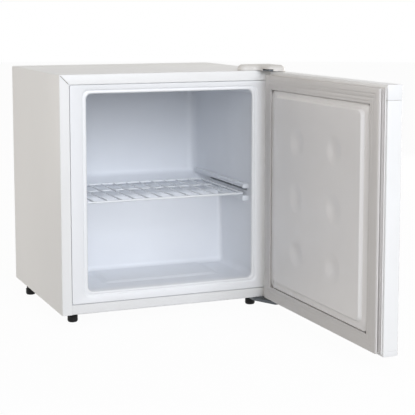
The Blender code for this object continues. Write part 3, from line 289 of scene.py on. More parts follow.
def cut(piece, tool):
    """Cuts a tool's shape out of a piece and throws the tool away."""
    bpy.ops.object.mode_set(mode="OBJECT")
    modify(piece, "BOOLEAN", operation="DIFFERENCE", solver="EXACT", object=tool)
    bpy.data.objects.remove(tool)


def surface(name, light_hex, dark_hex, patch_mm, roughness, spread, grain_mm, grain_depth_mm, metallic=0):
    """A finish with soft patches of two tones, uneven gloss, and a fine grain that catches the light."""
    finish = bpy.data.materials.new(name)
    finish.use_nodes = True
    tree = finish.node_tree
    shader = tree.nodes["Principled BSDF"]
    shader.inputs["Metallic"].default_value = metallic
    place = node(tree, "ShaderNodeTexCoord").outputs["Object"]
    patches = node(
        tree, "ShaderNodeTexNoise", {"Vector": place, "Scale": 1000 / patch_mm, "Detail": PATCH_DETAIL}
    ).outputs[0]
    tone = node(
        tree,
        "ShaderNodeMix",
        {"Factor": patches, COLOUR_A: linear(dark_hex), COLOUR_B: linear(light_hex)},
        data_type="RGBA",
    )
    tree.links.new(tone.outputs[COLOUR_OUT], shader.inputs["Base Color"])
    gloss = node(
        tree,
        "ShaderNodeMapRange",
        {
            "Value": patches,
            "From Min": NOISE_LOW,
            "From Max": NOISE_HIGH,
            "To Min": roughness - spread,
            "To Max": roughness + spread,
        },
    )
    tree.links.new(gloss.outputs[0], shader.inputs["Roughness"])
    grain = node(
        tree, "ShaderNodeTexNoise", {"Vector": place, "Scale": 1000 / grain_mm, "Detail": GRAIN_DETAIL}
    )
    relief = node(
        tree,
        "ShaderNodeBump",
        {"Height": grain.outputs[0], "Strength": 1, "Distance": grain_depth_mm / 1000},
    )
    tree.links.new(relief.outputs[0], shader.inputs["Normal"])
    return finish


# Powder coat on sheet steel is satin, with a shallow orange peel of about 2 mm, drawn at 5 mm to show.
white_paint = surface("powder_coated_sheet_steel", "F3F3F2", "EEEEEC", 90, 0.36, 0.04, 5, 0.05)

steel_low, steel_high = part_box("cabinet_wrapper")
wrapper = block("steel_wrapper", steel_low, steel_high)
pick("FACE", lambda middle, face: abs(face.normal.y) > FACING or face.normal.z < -FACING)
bpy.ops.mesh.delete(type="FACE")
pick(
    "EDGE",
    lambda middle, edge: steel_high.z - middle.z < TINY and steel_high.x - abs(middle.x) < TINY,
)
bevel(TOP_CORNER, 4)
width = steel_high.x - steel_low.x
height = steel_high.z - steel_low.z
for y, turned_in in ((steel_low.y, FLANGE), (steel_high.y, REAR_RETURN)):
    pick("EDGE", lambda middle, edge: abs(middle.y - y) < TINY)
    bpy.ops.mesh.extrude_edges_move()
    bpy.ops.transform.resize(
        value=(1 - 2 * turned_in / width, 1, 1 - turned_in / height),
        center_override=(0, y, steel_low.z),
    )
pick_sharp()
bevel(FOLD, 3)
thicken(wrapper, STEEL)
blade_half = (FLANGE - MITRE_SHORT) / math.sqrt(2)
blade_from_edge = (FLANGE + MITRE_SHORT) / 2
for side in (-1, 1):
    blade = block(
        "mitre_blade",
        (-MITRE_GAP / 2, steel_low.y - FOLD, -blade_half),
        (MITRE_GAP / 2, steel_low.y + FOLD, blade_half),
    )
    bpy.ops.object.mode_set(mode="OBJECT")
    blade.rotation_euler = (0, side * math.radians(45), 0)
    blade.location = (side * (steel_high.x - blade_from_edge), 0, steel_high.z - blade_from_edge)
    active(blade)
    bpy.ops.object.transform_apply()
    cut(wrapper, blade)
dress(wrapper, white_paint, "cabinet", "white_steel", "cabinet_wrapper")


# Bottom rail: a painted steel angle that closes the front frame between the wrapper's two side flanges.
# It is screwed to the floor panel from below, so only its butt joints show.
rail_low, rail_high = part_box("bottom_front_rail")
rail = block("bottom_rail", rail_low, rail_high)
pick("FACE", lambda middle, face: face.normal.y > -FACING and face.normal.z > -FACING)
bpy.ops.mesh.delete(type="FACE")
pick_sharp()
bevel(FOLD, 4)
thicken(rail, STEEL)
dress(rail, white_paint, "cabinet", "white_steel", "bottom_front_rail")


# Liner: the compartment is one vacuum formed polystyrene sheet, pulled into a mould.
# It has a rolled lip at the mouth, a raised floor, a step over the machine space and soft corners.
# Its edge is tucked behind the wrapper's flange, and the foam round it holds it in place.
X, Y, Z = 0, 1, 2
LINER_WALL = 0.0015
LIP_DEPTH = 0.0147
WALL_FROM_EDGE = 0.0277
CEILING_FROM_EDGE = 0.0192
FLOOR_FROM_EDGE = 0.0237
LOWER_BACK_DEPTH = 0.1857
LEDGE_FROM_EDGE = 0.1877
LEDGE_FLAT = 0.2990
LEDGE_RISE = 0.0220
BACK_DRAFT = 0.002
LINER_CORNER = 0.012
BACK_CORNER = 0.020
LEDGE_CORNER = 0.008
SEAM = 0.0010
TUCK_BACK = 0.0040
TUCK_UNDER = 0.004
# Each step of the lip: its depth behind the flange, and how far it stands in from walls, ceiling and floor.
LIP_PROFILE = (
    (0.0117, 0.0000, 0.0000, 0.0000),
    (0.0102, 0.0030, 0.0000, 0.0000),
    (0.0092, 0.0055, 0.0000, 0.0000),
    (0.0077, 0.0070, -0.0001, -0.0001),
    (0.0057, 0.0074, -0.0003, -0.0003),
    (0.0037, 0.0071, -0.0006, -0.0006),
    (0.0022, 0.0062, -0.0014, -0.0013),
    (0.0013, 0.0048, -0.0026, -0.0025),
    (0.0013, 0.0032, -0.0040, -0.0039),
    (0.0021, 0.0015, -0.0055, -0.0054),
    (0.0024, 0.0000, -0.0068, -0.0067),
    (0.0017, -0.0015, -0.0081, -0.0080),
    (0.0006, -0.0023, -0.0088, -0.0087),
    (0.0000, -0.0035, -0.0098, -0.0097),
)
GROOVE_LOW = 0.0058
GROOVE_HIGH = 0.0108
GROOVE_DEPTH = 0.014
GROOVE_FROM_FRONT = 0.042
GROOVE_LENGTH = 0.205
FRAME_RADIUS = 0.0025
PLATEAU_WIDTH = 0.247
PLATEAU_FROM_FRONT = 0.0647
PLATEAU_RISE = 0.004
PLATEAU_SLOPE = 0.009
FLOOR_CUTS = 50
# The flat walls and floor are told from the coves by a stricter share of the normal.
FLAT = 0.99
# Painted shade: the sheet's colour is whiter at the flange at the mouth and greyer deeper in, standing in
# for the shade inside the compartment.
MOUTH_PAINTED_LIGHT = "F4F5F6"
PAINTED_SHADE_START = 0.004
PAINTED_SHADE_END = 0.030

# Formed polystyrene is a cool white with a soft sheen; the mould leaves a faint satin grain of 3 mm.
liner_plastic = surface("vacuum_formed_polystyrene", "EBEEF2", "E6E9EE", 70, 0.32, 0.03, 3, 0.02)


def fit_selection(low, high):
    """Resizes and moves the selected points so that their box becomes this one."""
    mesh = bmesh.from_edit_mesh(bpy.context.edit_object.data)
    points = [corner.co.copy() for corner in mesh.verts if corner.select]
    was_low = Vector(map(min, *points))
    was_high = Vector(map(max, *points))
    low, high = Vector(low), Vector(high)
    factors = []
    for axis in range(3):
        span = was_high[axis] - was_low[axis]
        factors.append((high[axis] - low[axis]) / span if span > TINY else 1)
    middle = (was_low + was_high) / 2
    bpy.ops.transform.resize(value=factors, center_override=middle)
    bpy.ops.transform.translate(value=(low + high) / 2 - middle)


def draw_ring(low, high):
    """In edit mode, extrudes the selected ring of edges until it fills this box."""
    bpy.ops.mesh.extrude_edges_move()
    fit_selection(low, high)


def square_off(piece, low, high, axes):
    """Pushes the selected ring of points out to the sides of this box, so that its corners are sharp."""
    mesh = bmesh.from_edit_mesh(piece.data)
    middle = (low + high) / 2
    half = (high - low) / 2
    for corner in mesh.verts:
        if corner.select:
            reach = max(abs(corner.co[axis] - middle[axis]) / half[axis] for axis in axes)
            for axis in axes:
                corner.co[axis] = middle[axis] + (corner.co[axis] - middle[axis]) / reach
    bmesh.update_edit_mesh(piece.data)


def split_at(axis, place):
    """In edit mode, splits the selected faces along the plane at this place on an axis."""
    point = Vector()
    normal = Vector()
    point[axis] = place
    normal[axis] = 1
    bpy.ops.mesh.bisect(plane_co=point, plane_no=normal)


def run(edge, axis):
    """How far an edge runs along an axis."""
    return abs(edge.verts[0].co[axis] - edge.verts[1].co[axis])


liner_low, liner_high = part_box("inner_liner")
sheet = liner_plastic.node_tree
sheet_place = node(sheet, "ShaderNodeTexCoord").outputs["Object"]
sheet_depth = node(sheet, "ShaderNodeSeparateXYZ", {0: sheet_place}).outputs["Y"]
# Painted shade: the colour fades from the whiter mouth to the greyer walls over the first 30 mm of depth.
painted_shade_fade = node(
    sheet,
    "ShaderNodeMapRange",
    {
        "Value": sheet_depth,
        "From Min": liner_low.y + PAINTED_SHADE_START,
        "From Max": liner_low.y + PAINTED_SHADE_END,
    },
)
sheet_colour = sheet.nodes["Principled BSDF"].inputs["Base Color"]
painted_shade_tone = node(
    sheet,
    "ShaderNodeMix",
    {
        "Factor": painted_shade_fade.outputs[0],
        COLOUR_A: linear(MOUTH_PAINTED_LIGHT),
        COLOUR_B: sheet_colour.links[0].from_socket,
    },
    data_type="RGBA",
)
sheet.links.new(painted_shade_tone.outputs[COLOUR_OUT], sheet_colour)

wall_x = liner_high.x - WALL_FROM_EDGE
floor_z = liner_low.z + FLOOR_FROM_EDGE
ceiling_z = liner_high.z - CEILING_FROM_EDGE
lip_y = liner_low.y + LIP_DEPTH
lower_back_y = liner_low.y + LOWER_BACK_DEPTH
upper_back_y = liner_high.y - LINER_WALL
ledge_z = liner_low.z + LEDGE_FROM_EDGE
liner = block("formed_liner", (-wall_x, lip_y, floor_z), (wall_x, lower_back_y, ceiling_z))
bpy.ops.mesh.select_all(action="SELECT")
split_at(Z, ledge_z)
pick("FACE", lambda middle, face: face.normal.y < -FACING)
bpy.ops.mesh.delete(type="FACE")
pick("FACE", lambda middle, face: face.normal.y > FACING and middle.z > ledge_z)
bpy.ops.mesh.extrude_region_move(
    TRANSFORM_OT_translate={"value": (0, upper_back_y - lower_back_y, 0)}
)
pick("VERT", lambda middle, corner: middle.z - floor_z < TINY and middle.y > lip_y + TINY)
bpy.ops.transform.translate(value=(0, -2 * BACK_DRAFT, 0))
bpy.ops.mesh.select_all(action="SELECT")
bpy.ops.mesh.flip_normals()
pick_sharp()
bpy.ops.transform.edge_bevelweight(value=LINER_CORNER / BACK_CORNER)
for corner_size, upright in ((BACK_CORNER, True), (LEDGE_CORNER, False)):
    pick(
        "EDGE",
        lambda middle, edge: upper_back_y - middle.y < TINY
        and middle.z < ceiling_z - TINY
        and (run(edge, Z) > BACK_CORNER) == upright,
    )
    bpy.ops.transform.edge_bevelweight(value=(corner_size - LINER_CORNER) / BACK_CORNER)
bpy.ops.object.mode_set(mode="OBJECT")
modify(liner, "BEVEL", width=BACK_CORNER, segments=7, limit_method="WEIGHT")
bpy.ops.object.mode_set(mode="EDIT")

bend_y = liner_low.y + LEDGE_FLAT
bpy.ops.mesh.select_all(action="SELECT")
split_at(Y, bend_y)
for corner in bmesh.from_edit_mesh(liner.data).verts:
    if corner.co.y > bend_y and abs(corner.co.z - ledge_z) < BACK_CORNER + TINY:
        corner.co.z += LEDGE_RISE * (corner.co.y - bend_y) / (upper_back_y - bend_y)
bmesh.update_edit_mesh(liner.data)

pick("FACE", lambda middle, face: face.normal.z > FLAT and middle.z - floor_z < TINY)
bpy.ops.mesh.subdivide(number_cuts=FLOOR_CUTS)
plateau_y = liner_low.y + PLATEAU_FROM_FRONT
pick(
    "VERT",
    lambda middle, corner: middle.z - floor_z < TINY
    and abs(middle.x) < PLATEAU_WIDTH / 2
    and middle.y > plateau_y,
)
bpy.ops.transform.translate(
    value=(0, 0, PLATEAU_RISE),
    use_proportional_edit=True,
    use_proportional_connected=True,
    proportional_edit_falloff="SMOOTH",
    proportional_size=PLATEAU_SLOPE,
)

groove_front = liner_low.y + GROOVE_FROM_FRONT
groove_back = groove_front + GROOVE_LENGTH
for y in (groove_front, groove_back):
    pick("FACE", lambda middle, face: abs(face.normal.x) > FLAT)
    split_at(Y, y)
shelf_low, shelf_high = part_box("wire_shelf")
shelf_z = shelf_high.z - FRAME_RADIUS
for z in (shelf_z + GROOVE_LOW, shelf_z + GROOVE_HIGH):
    pick(
        "FACE",
        lambda middle, face: abs(face.normal.x) > FLAT and groove_front < middle.y < groove_back,
    )
    split_at(Z, z)
for side in (-1, 1):
    pick(
        "FACE",
        lambda middle, face: face.normal.x * side < -FLAT
        and groove_front < middle.y < groove_back
        and shelf_z + GROOVE_LOW < middle.z < shelf_z + GROOVE_HIGH,
    )
    bpy.ops.mesh.extrude_region_move(TRANSFORM_OT_translate={"value": (side * GROOVE_DEPTH, 0, 0)})

pick("EDGE", lambda middle, edge: len(edge.link_faces) == 1)
for depth, from_wall, from_ceiling, from_floor in LIP_PROFILE:
    y = liner_low.y + depth
    draw_ring(
        (-wall_x + from_wall, y, floor_z + from_floor), (wall_x - from_wall, y, ceiling_z - from_ceiling)
    )
edge_low = Vector((liner_low.x + SEAM, liner_low.y, liner_low.z + SEAM))
edge_high = Vector((liner_high.x - SEAM, liner_low.y, liner_high.z - SEAM))
draw_ring(edge_low, edge_high)
square_off(liner, edge_low, edge_high, (X, Z))
back = Vector((0, TUCK_BACK, 0))
under = Vector((TUCK_UNDER, 0, TUCK_UNDER))
draw_ring(edge_low + back, edge_high + back)
draw_ring(edge_low + back - under, edge_high + back + under)
thicken(liner, LINER_WALL)


# Shelf guides: two ribs on each side wall hold the shelf's side wires between them.
# They are formed with the liner's sheet, so they are joined to it and share its finish.
GUIDE_FRONT = 0.0357
NOSE_REACH = 0.0145
NOSE_LENGTH = 0.013
GUIDE_NOSE = 0.0036
GUIDE_EDGE = 0.0012
CREASE = 0.9
# Each guide: its lower and upper side from the shelf's wires, its length, and its reach from the wall.
LOWER_GUIDE = (-0.0158, -0.0028, 0.146, 0.009)
UPPER_GUIDE = (0.0115, 0.0220, 0.298, 0.0055)


def join(piece, *others):
    """Joins other finished meshes into this one."""
    active(piece)
    for other in others:
        other.select_set(True)
    bpy.ops.object.join()


guide_y = liner_low.y + GUIDE_FRONT
guides = []
for low, high, length, reach in (LOWER_GUIDE, UPPER_GUIDE):
    guide = block(
        "guide_rib",
        (wall_x - reach, guide_y, shelf_z + low),
        (wall_x + LINER_WALL / 2, guide_y + length, shelf_z + high),
    )
    bpy.ops.mesh.select_all(action="SELECT")
    split_at(Y, guide_y + NOSE_LENGTH)
    pick(
        "VERT",
        lambda middle, corner: middle.x < wall_x and middle.y < guide_y + NOSE_LENGTH / 2,
    )
    bpy.ops.transform.translate(value=(reach - NOSE_REACH, 0, 0))
    pick(
        "EDGE",
        lambda middle, edge: run(edge, X) > reach / 2
        and abs(middle.y - guide_y - NOSE_LENGTH) > TINY,
    )
    bevel(GUIDE_NOSE, 5)
    pick("EDGE", lambda middle, edge: middle.x < wall_x and edge.calc_face_angle() > CREASE)
    bevel(GUIDE_EDGE, 3)
    bpy.ops.object.mode_set(mode="OBJECT")
    modify(guide, "MIRROR")
    guides.append(guide)
join(liner, *guides)
dress(liner, liner_plastic, "cabinet", "white_liner", "inner_liner")


# Wire shelf: a frame of 5 mm wire with thinner wires welded across it, dipped in white plastic.
# It lies loose between the guides and slides out towards the door.
GRID_RADIUS = 0.0016
GRID_PITCH = 0.030
GRID_WIRES = 11
SHELF_CORNER = 0.012
CROSS_WIRE_BACK = 0.165
CROSS_WIRE_END = 0.0115
WELD_SINK = 0.0006

# Dipped polyethylene is smooth and a little lumpy, so each wire carries a broken line of light.
wire_coat = surface("polyethylene_dipped_wire", "F2F4F6", "E8EBEE", 40, 0.30, 0.05, 7, 0.12)


def wire_round(piece, radius):
    """Turns a path of edges into a round wire or tube along it."""
    bpy.ops.object.mode_set(mode="OBJECT")
    active(piece)
    bpy.ops.object.convert(target="CURVE")
    piece.data.bevel_depth = radius
    piece.data.bevel_resolution = 3
    piece.data.use_fill_caps = True
    bpy.ops.object.convert(target="MESH")


frame_wire = block(
    "coated_wire_shelf",
    (shelf_low.x + FRAME_RADIUS, shelf_low.y + FRAME_RADIUS, shelf_z),
    (shelf_high.x - FRAME_RADIUS, shelf_high.y - FRAME_RADIUS, shelf_z + FRAME_RADIUS),
)
pick("FACE", lambda middle, face: face.normal.z > -FACING)
bpy.ops.mesh.delete(type="FACE")
bpy.ops.mesh.select_all(action="SELECT")
bpy.ops.mesh.bevel(offset=SHELF_CORNER, segments=7, affect="VERTICES")
bpy.ops.mesh.delete(type="ONLY_FACE")
wire_round(frame_wire, FRAME_RADIUS)

first_x = -GRID_PITCH * (GRID_WIRES - 1) / 2
grid_wires = block(
    "grid_wires",
    (first_x, shelf_low.y + FRAME_RADIUS, shelf_z),
    (first_x + GRID_PITCH, shelf_high.y - FRAME_RADIUS, shelf_z + GRID_RADIUS),
)
pick("VERT", lambda middle, corner: middle.x > first_x + TINY or middle.z > shelf_z + TINY)
bpy.ops.mesh.delete(type="VERT")
wire_round(grid_wires, GRID_RADIUS)
modify(
    grid_wires,
    "ARRAY",
    count=GRID_WIRES,
    use_relative_offset=False,
    use_constant_offset=True,
    constant_offset_displace=(GRID_PITCH, 0, 0),
)

cross_z = shelf_z - 2 * GRID_RADIUS + WELD_SINK
cross_y = shelf_low.y + FRAME_RADIUS + CROSS_WIRE_BACK
cross_x = wall_x - CROSS_WIRE_END
cross_wire = block(
    "cross_wire", (-cross_x, cross_y, cross_z), (cross_x, cross_y + GRID_RADIUS, cross_z + GRID_RADIUS)
)
pick("VERT", lambda middle, corner: middle.y > cross_y + TINY or middle.z > cross_z + TINY)
bpy.ops.mesh.delete(type="VERT")
wire_round(cross_wire, GRID_RADIUS)
join(frame_wire, grid_wires, cross_wire)
dress(frame_wire, wire_coat, "shelf", "white_wire", "wire_shelf")


# Feet: black moulded plastic on a threaded stud, with grip flutes round the body.
# The front two screw in and out to level the cabinet, the rear two are driven home.
FEET = (
    ("front_left_foot", "left_foot"),
    ("front_right_foot", "right_foot"),
    ("rear_left_foot", "cabinet"),
    ("rear_right_foot", "cabinet"),
)
FOOT_SIDES = 48
# Each step of the foot: its radius and its height above the floor.
FOOT_PROFILE = (
    (0.0074, 0),
    (0.0090, 0.0006),
    (0.0101, 0.0020),
    (0.0107, 0.0045),
    (0.0110, 0.0075),
    (0.0110, 0.0125),
    (0.0106, 0.0132),
    (0.0088, 0.0138),
    (0.0086, 0.0262),
)
FLUTE_SHARE = 0.955
FLUTE_LOW = 0.0076
FLUTE_HIGH = 0.0124
FOOT_SHEEN = 0.26

# Moulded polypropylene is near black and satin, with dust caught in its fine texture.
foot_plastic = surface("moulded_black_polypropylene", "101011", "070708", 6, 0.56, 0.06, 0.9, 0.05)
foot_plastic.node_tree.nodes["Principled BSDF"].inputs["Specular IOR Level"].default_value = FOOT_SHEEN


def turned(name, x, y, profile, sides):
    """A turned piece: a disc drawn up ring by ring through pairs of a radius and a height."""
    bpy.ops.object.select_all(action="DESELECT")
    radius, height = profile[0]
    bpy.ops.mesh.primitive_circle_add(
        vertices=sides, radius=radius, fill_type="NGON", location=(x, y, height)
    )
    piece = bpy.context.object
    piece.name = name
    bpy.ops.object.transform_apply()
    bpy.ops.object.mode_set(mode="EDIT")
    for next_radius, next_height in profile[1:]:
        bpy.ops.mesh.extrude_region_move(
            TRANSFORM_OT_translate={"value": (0, 0, next_height - height)}
        )
        share = next_radius / radius
        bpy.ops.transform.resize(value=(share, share, 1), center_override=(x, y, next_height))
        radius, height = next_radius, next_height
    bpy.ops.mesh.select_all(action="SELECT")
    bpy.ops.mesh.normals_make_consistent(inside=False)
    return piece


def copy_of(piece, name, move):
    """Another one of a finished piece, with a mesh of its own, set down this far away."""
    active(piece)
    bpy.ops.object.duplicate()
    other = bpy.context.object
    other.name = name
    bpy.ops.object.mode_set(mode="EDIT")
    bpy.ops.mesh.select_all(action="SELECT")
    bpy.ops.transform.translate(value=move)
    bpy.ops.object.mode_set(mode="OBJECT")
    return other


def foot_place(node_name):
    """The middle of a foot in the CAD."""
    foot_low, foot_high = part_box(node_name)
    return (foot_low + foot_high) / 2


def in_flute(middle, face):
    """Whether a face of the first foot lies in the fluted band, on every second side."""
    turn = math.atan2(middle.y - first_place.y, middle.x - first_place.x) + math.pi
    side_angle = 2 * math.pi / FOOT_SIDES
    return FLUTE_LOW < middle.z < FLUTE_HIGH and int(turn / side_angle) % 2 == 0


first_place = foot_place(FEET[0][0])
first_foot = turned("levelling_foot", first_place.x, first_place.y, FOOT_PROFILE, FOOT_SIDES)
pick("FACE", in_flute)
bpy.ops.transform.resize(value=(FLUTE_SHARE, FLUTE_SHARE, 1), center_override=first_place)
bpy.ops.object.mode_set(mode="OBJECT")
for node_name, body in FEET:
    away = foot_place(node_name) - first_place
    foot = copy_of(first_foot, "black_" + node_name, (away.x, away.y, 0))
    dress(foot, foot_plastic, body, "black_plastic", node_name)
bpy.data.objects.remove(first_foot)


# Door skin: one folded steel sheet round the door's face and two edges, painted like the cabinet.
# It is hemmed 10 mm over the inner side, where the liner covers its raw edges.
DOOR_HEM = 0.010
DOOR_FOLD = 0.0025

skin_low, skin_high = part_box("door_skin")
skin = block("folded_door_skin", skin_low, skin_high)
pick("FACE", lambda middle, face: abs(face.normal.z) > FACING or face.normal.x < -FACING)
bpy.ops.mesh.delete(type="FACE")
for y, hem in ((skin_low.y, DOOR_HEM), (skin_high.y, -DOOR_HEM)):
    pick("EDGE", lambda middle, edge: middle.x - skin_low.x < TINY and abs(middle.y - y) < TINY)
    bpy.ops.mesh.extrude_edges_move()
    bpy.ops.transform.translate(value=(0, hem, 0))
pick_sharp()
bevel(DOOR_FOLD, 5)
thicken(skin, STEEL)
dress(skin, white_paint, "door", "white_steel", "door_skin")


# Door end caps: moulded plastic bars that close the skin above and below and hold the hinge bushes.
# The upper one is taller and has a finger recess in the door's outer face. The foam bonds both.
CAP_EDGE = 0.0010
GRIP_FROM_FREE_EDGE = 0.060
GRIP_WIDTH = 0.130
GRIP_HEIGHT = 0.015
GRIP_DEPTH = 0.014
GRIP_CORNER = 0.0072
BUSH_HOLE_RADIUS = 0.0058
BUSH_SIDES = 48

# Moulded ABS is a clean white, a little glossier than the paint, with a fine spark eroded grain.
cap_plastic = surface("moulded_white_abs", "F2F2F1", "EAEAE9", 60, 0.32, 0.04, 2.5, 0.02)


def ease_edges(piece, width, segments=2, angle=40):
    """Rounds every edge that is sharper than the angle."""
    modify(
        piece,
        "BEVEL",
        width=width,
        segments=segments,
        limit_method="ANGLE",
        angle_limit=math.radians(angle),
    )


pin_low, pin_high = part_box("lower_hinge_pin")
pivot = (pin_low + pin_high) / 2
for node_name, name in (("door_top_cap", "moulded_top_cap"), ("door_bottom_cap", "moulded_bottom_cap")):
    cap_low, cap_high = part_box(node_name)
    cap = block(name, cap_low, cap_high)
    pick("EDGE", lambda middle, edge: run(edge, Z) > TINY)
    bevel(DOOR_FOLD, 5)
    bpy.ops.object.mode_set(mode="OBJECT")
    if node_name == "door_top_cap":
        grip_y = cap_low.y + GRIP_FROM_FREE_EDGE
        grip_z = (cap_low.z + cap_high.z - GRIP_HEIGHT) / 2
        grip = block(
            "grip_tool",
            (cap_high.x - GRIP_DEPTH, grip_y, grip_z),
            (cap_high.x + GRIP_DEPTH, grip_y + GRIP_WIDTH, grip_z + GRIP_HEIGHT),
        )
        pick("EDGE", lambda middle, edge: run(edge, X) > TINY)
        bevel(GRIP_CORNER, 8)
        cut(cap, grip)
    bush_profile = ((BUSH_HOLE_RADIUS, cap_low.z - CAP_EDGE), (BUSH_HOLE_RADIUS, cap_high.z + CAP_EDGE))
    cut(cap, turned("bush_tool", pivot.x, pivot.y, bush_profile, BUSH_SIDES))
    ease_edges(cap, CAP_EDGE, 3)
    dress(cap, cap_plastic, "door", "white_plastic", node_name)


# Door liner: a vacuum formed sheet with a raised plug that fills the mouth, and six round dimples.
# Its edge lies on the skin's hems, and the gasket holds it down all round.
PLUG_FREE_INSET = 0.056
PLUG_HINGE_INSET = 0.052
PLUG_TOP_INSET = 0.0438
PLUG_LOW_INSET = 0.048
PLUG_SLOPE = 0.0050
PLUG_RISE = 0.0160
MOAT_DEPTH = 0.0058
PLUG_CORNER = 0.012
# Steps of the plug's sloped wall as shares of its width and of its depth.
SLOPE_STEPS = ((0.06, 0.01), (0.14, 0.06), (0.22, 0.14), (0.80, 0.88), (0.90, 0.97), (1.00, 1.00))
# Steps from the moat down to the edge strip under the gasket: inset and depth below the plug.
STRIP_STEPS = ((0.0314, 0.0058), (0.0308, 0.0064), (0.0306, 0.0150), (0.0305, 0.0160))
DIMPLE_RADIUS = 0.030
DIMPLE_FLAT = DIMPLE_RADIUS / 9
DIMPLE_DEPTH = 0.004
DIMPLE_ACROSS = 0.152
DIMPLE_UP = 0.110
PLUG_CELLS = 84

# The door's polystyrene has the same satin mould grain as the compartment's. Its colour is painted a warmer
# white than the compartment's, standing in for the warmer light that falls on the door.
warm_lit_door_plastic = surface("vacuum_formed_door_polystyrene", "F3F1EF", "EEECEA", 70, 0.36, 0.05, 3, 0.03)

panel_low, panel_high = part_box("door_liner")
sheet_x = panel_high.x - LINER_WALL
face_x = sheet_x - PLUG_RISE
flat_low = Vector((face_x, panel_low.y + PLUG_FREE_INSET, panel_low.z + PLUG_LOW_INSET))
flat_high = Vector((face_x, panel_high.y - PLUG_HINGE_INSET, panel_high.z - PLUG_TOP_INSET))
flat_middle = (flat_low + flat_high) / 2
panel_middle = (panel_low + panel_high) / 2
bpy.ops.object.select_all(action="DESELECT")
bpy.ops.mesh.primitive_grid_add(
    x_subdivisions=PLUG_CELLS,
    y_subdivisions=PLUG_CELLS,
    size=1,
    location=flat_middle,
    rotation=(0, math.radians(-90), 0),
)
panel = bpy.context.object
panel.name = "formed_door_liner"
bpy.ops.object.transform_apply()
bpy.ops.object.mode_set(mode="EDIT")
bpy.ops.mesh.select_all(action="SELECT")
fit_selection(flat_low, flat_high)

for column in (-0.5, 0.5):
    for row in (-1, 0, 1):
        dimple_y = panel_middle.y + column * DIMPLE_ACROSS
        dimple = Vector((face_x, dimple_y, panel_middle.z + row * DIMPLE_UP))
        pick("VERT", lambda middle, corner: (middle - dimple).length < DIMPLE_FLAT)
        bpy.ops.transform.translate(
            value=(DIMPLE_DEPTH, 0, 0),
            use_proportional_edit=True,
            proportional_edit_falloff="SMOOTH",
            proportional_size=DIMPLE_RADIUS,
        )

straight_y = (flat_high.y - flat_low.y) / 2 - PLUG_CORNER
straight_z = (flat_high.z - flat_low.z) / 2 - PLUG_CORNER
for corner in bmesh.from_edit_mesh(panel.data).verts:
    from_y = corner.co.y - flat_middle.y
    from_z = corner.co.z - flat_middle.z
    across = abs(from_y) - straight_y
    up = abs(from_z) - straight_z
    if across > 0 and up > 0:
        share = max(across, up) / math.hypot(across, up)
        corner.co.y = flat_middle.y + math.copysign(straight_y + across * share, from_y)
        corner.co.z = flat_middle.z + math.copysign(straight_z + up * share, from_z)
bmesh.update_edit_mesh(panel.data)

pick("EDGE", lambda middle, edge: len(edge.link_faces) == 1)
for across, down in SLOPE_STEPS:
    spread = Vector((0, across * PLUG_SLOPE, across * PLUG_SLOPE))
    sunk = Vector((down * MOAT_DEPTH, 0, 0))
    draw_ring(flat_low - spread + sunk, flat_high + spread + sunk)
for inset, down in STRIP_STEPS:
    x = face_x + down
    draw_ring(
        (x, panel_low.y + inset, panel_low.z + inset), (x, panel_high.y - inset, panel_high.z - inset)
    )
draw_ring((sheet_x, panel_low.y, panel_low.z), (sheet_x, panel_high.y, panel_high.z))
square_off(panel, panel_low, panel_high, (Y, Z))
bpy.ops.mesh.select_all(action="SELECT")
bpy.ops.mesh.normals_make_consistent(inside=True)
thicken(panel, LINER_WALL)
dress(panel, warm_lit_door_plastic, "door", "white_liner", "door_liner")


# Door gasket: an extruded vinyl bellows with a magnet strip in its face, welded at mitred corners.
# Its root is pressed round the door liner's edge, and its face closes on the cabinet's front frame.
GASKET_WIDTH = 0.029
# Each fold: its share of the width, in from the outer edge, and its share of the height, up from the root.
GASKET_FOLDS = (
    (0.12, 0.00),
    (0.12, 0.05),
    (0.17, 0.08),
    (0.12, 0.12),
    (0.05, 0.16),
    (0.03, 0.21),
    (0.05, 0.26),
    (0.14, 0.31),
    (0.34, 0.36),
    (0.34, 0.41),
    (0.14, 0.47),
    (0.03, 0.51),
    (0.00, 0.56),
    (0.00, 0.74),
    (0.025, 0.765),
    (0.025, 0.785),
    (0.00, 0.81),
    (0.00, 0.83),
    (0.02, 0.87),
    (0.06, 0.895),
    (0.27, 0.98),
    (0.30, 0.985),
    (0.33, 0.965),
    (0.36, 0.965),
    (0.40, 0.99),
    (0.43, 1.00),
    (0.58, 1.00),
    (0.61, 0.97),
    (0.64, 1.00),
    (0.83, 1.00),
    (0.85, 0.98),
    (0.87, 1.00),
    (0.94, 1.00),
    (0.98, 0.98),
    (1.00, 0.94),
    (0.99, 0.70),
    (0.95, 0.58),
    (0.94, 0.50),
    (0.96, 0.42),
    (0.96, 0.24),
    (0.93, 0.14),
    (0.88, 0.08),
    (0.88, 0.00),
)

# Plasticised vinyl is a dull grey white that takes a soft sheen along each fold.
gasket_vinyl = surface("extruded_magnet_gasket_vinyl", "DAD7D4", "D1CECB", 45, 0.42, 0.06, 4, 0.03)

seal_low, seal_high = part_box("door_gasket")
seal_rise = seal_high.x - seal_low.x
seal = block("bellows_gasket", seal_low, seal_high)
pick("FACE", lambda middle, face: face.normal.x < FACING)
bpy.ops.mesh.delete(type="FACE")
bpy.ops.mesh.select_all(action="SELECT")
bpy.ops.mesh.delete(type="ONLY_FACE")
bpy.ops.mesh.select_mode(type="EDGE")
bpy.ops.mesh.select_all(action="SELECT")
for number, (across, rise) in enumerate(GASKET_FOLDS):
    if number:
        bpy.ops.mesh.extrude_edges_move()
    inset = across * GASKET_WIDTH
    x = seal_high.x - rise * seal_rise
    fit_selection(
        (x, seal_low.y + inset, seal_low.z + inset), (x, seal_high.y - inset, seal_high.z - inset)
    )
pick("EDGE", lambda middle, edge: len(edge.link_faces) == 1)
bpy.ops.mesh.bridge_edge_loops()
bpy.ops.mesh.select_all(action="SELECT")
bpy.ops.mesh.normals_make_consistent(inside=False)
dress(seal, gasket_vinyl, "door", "gasket", "door_gasket")


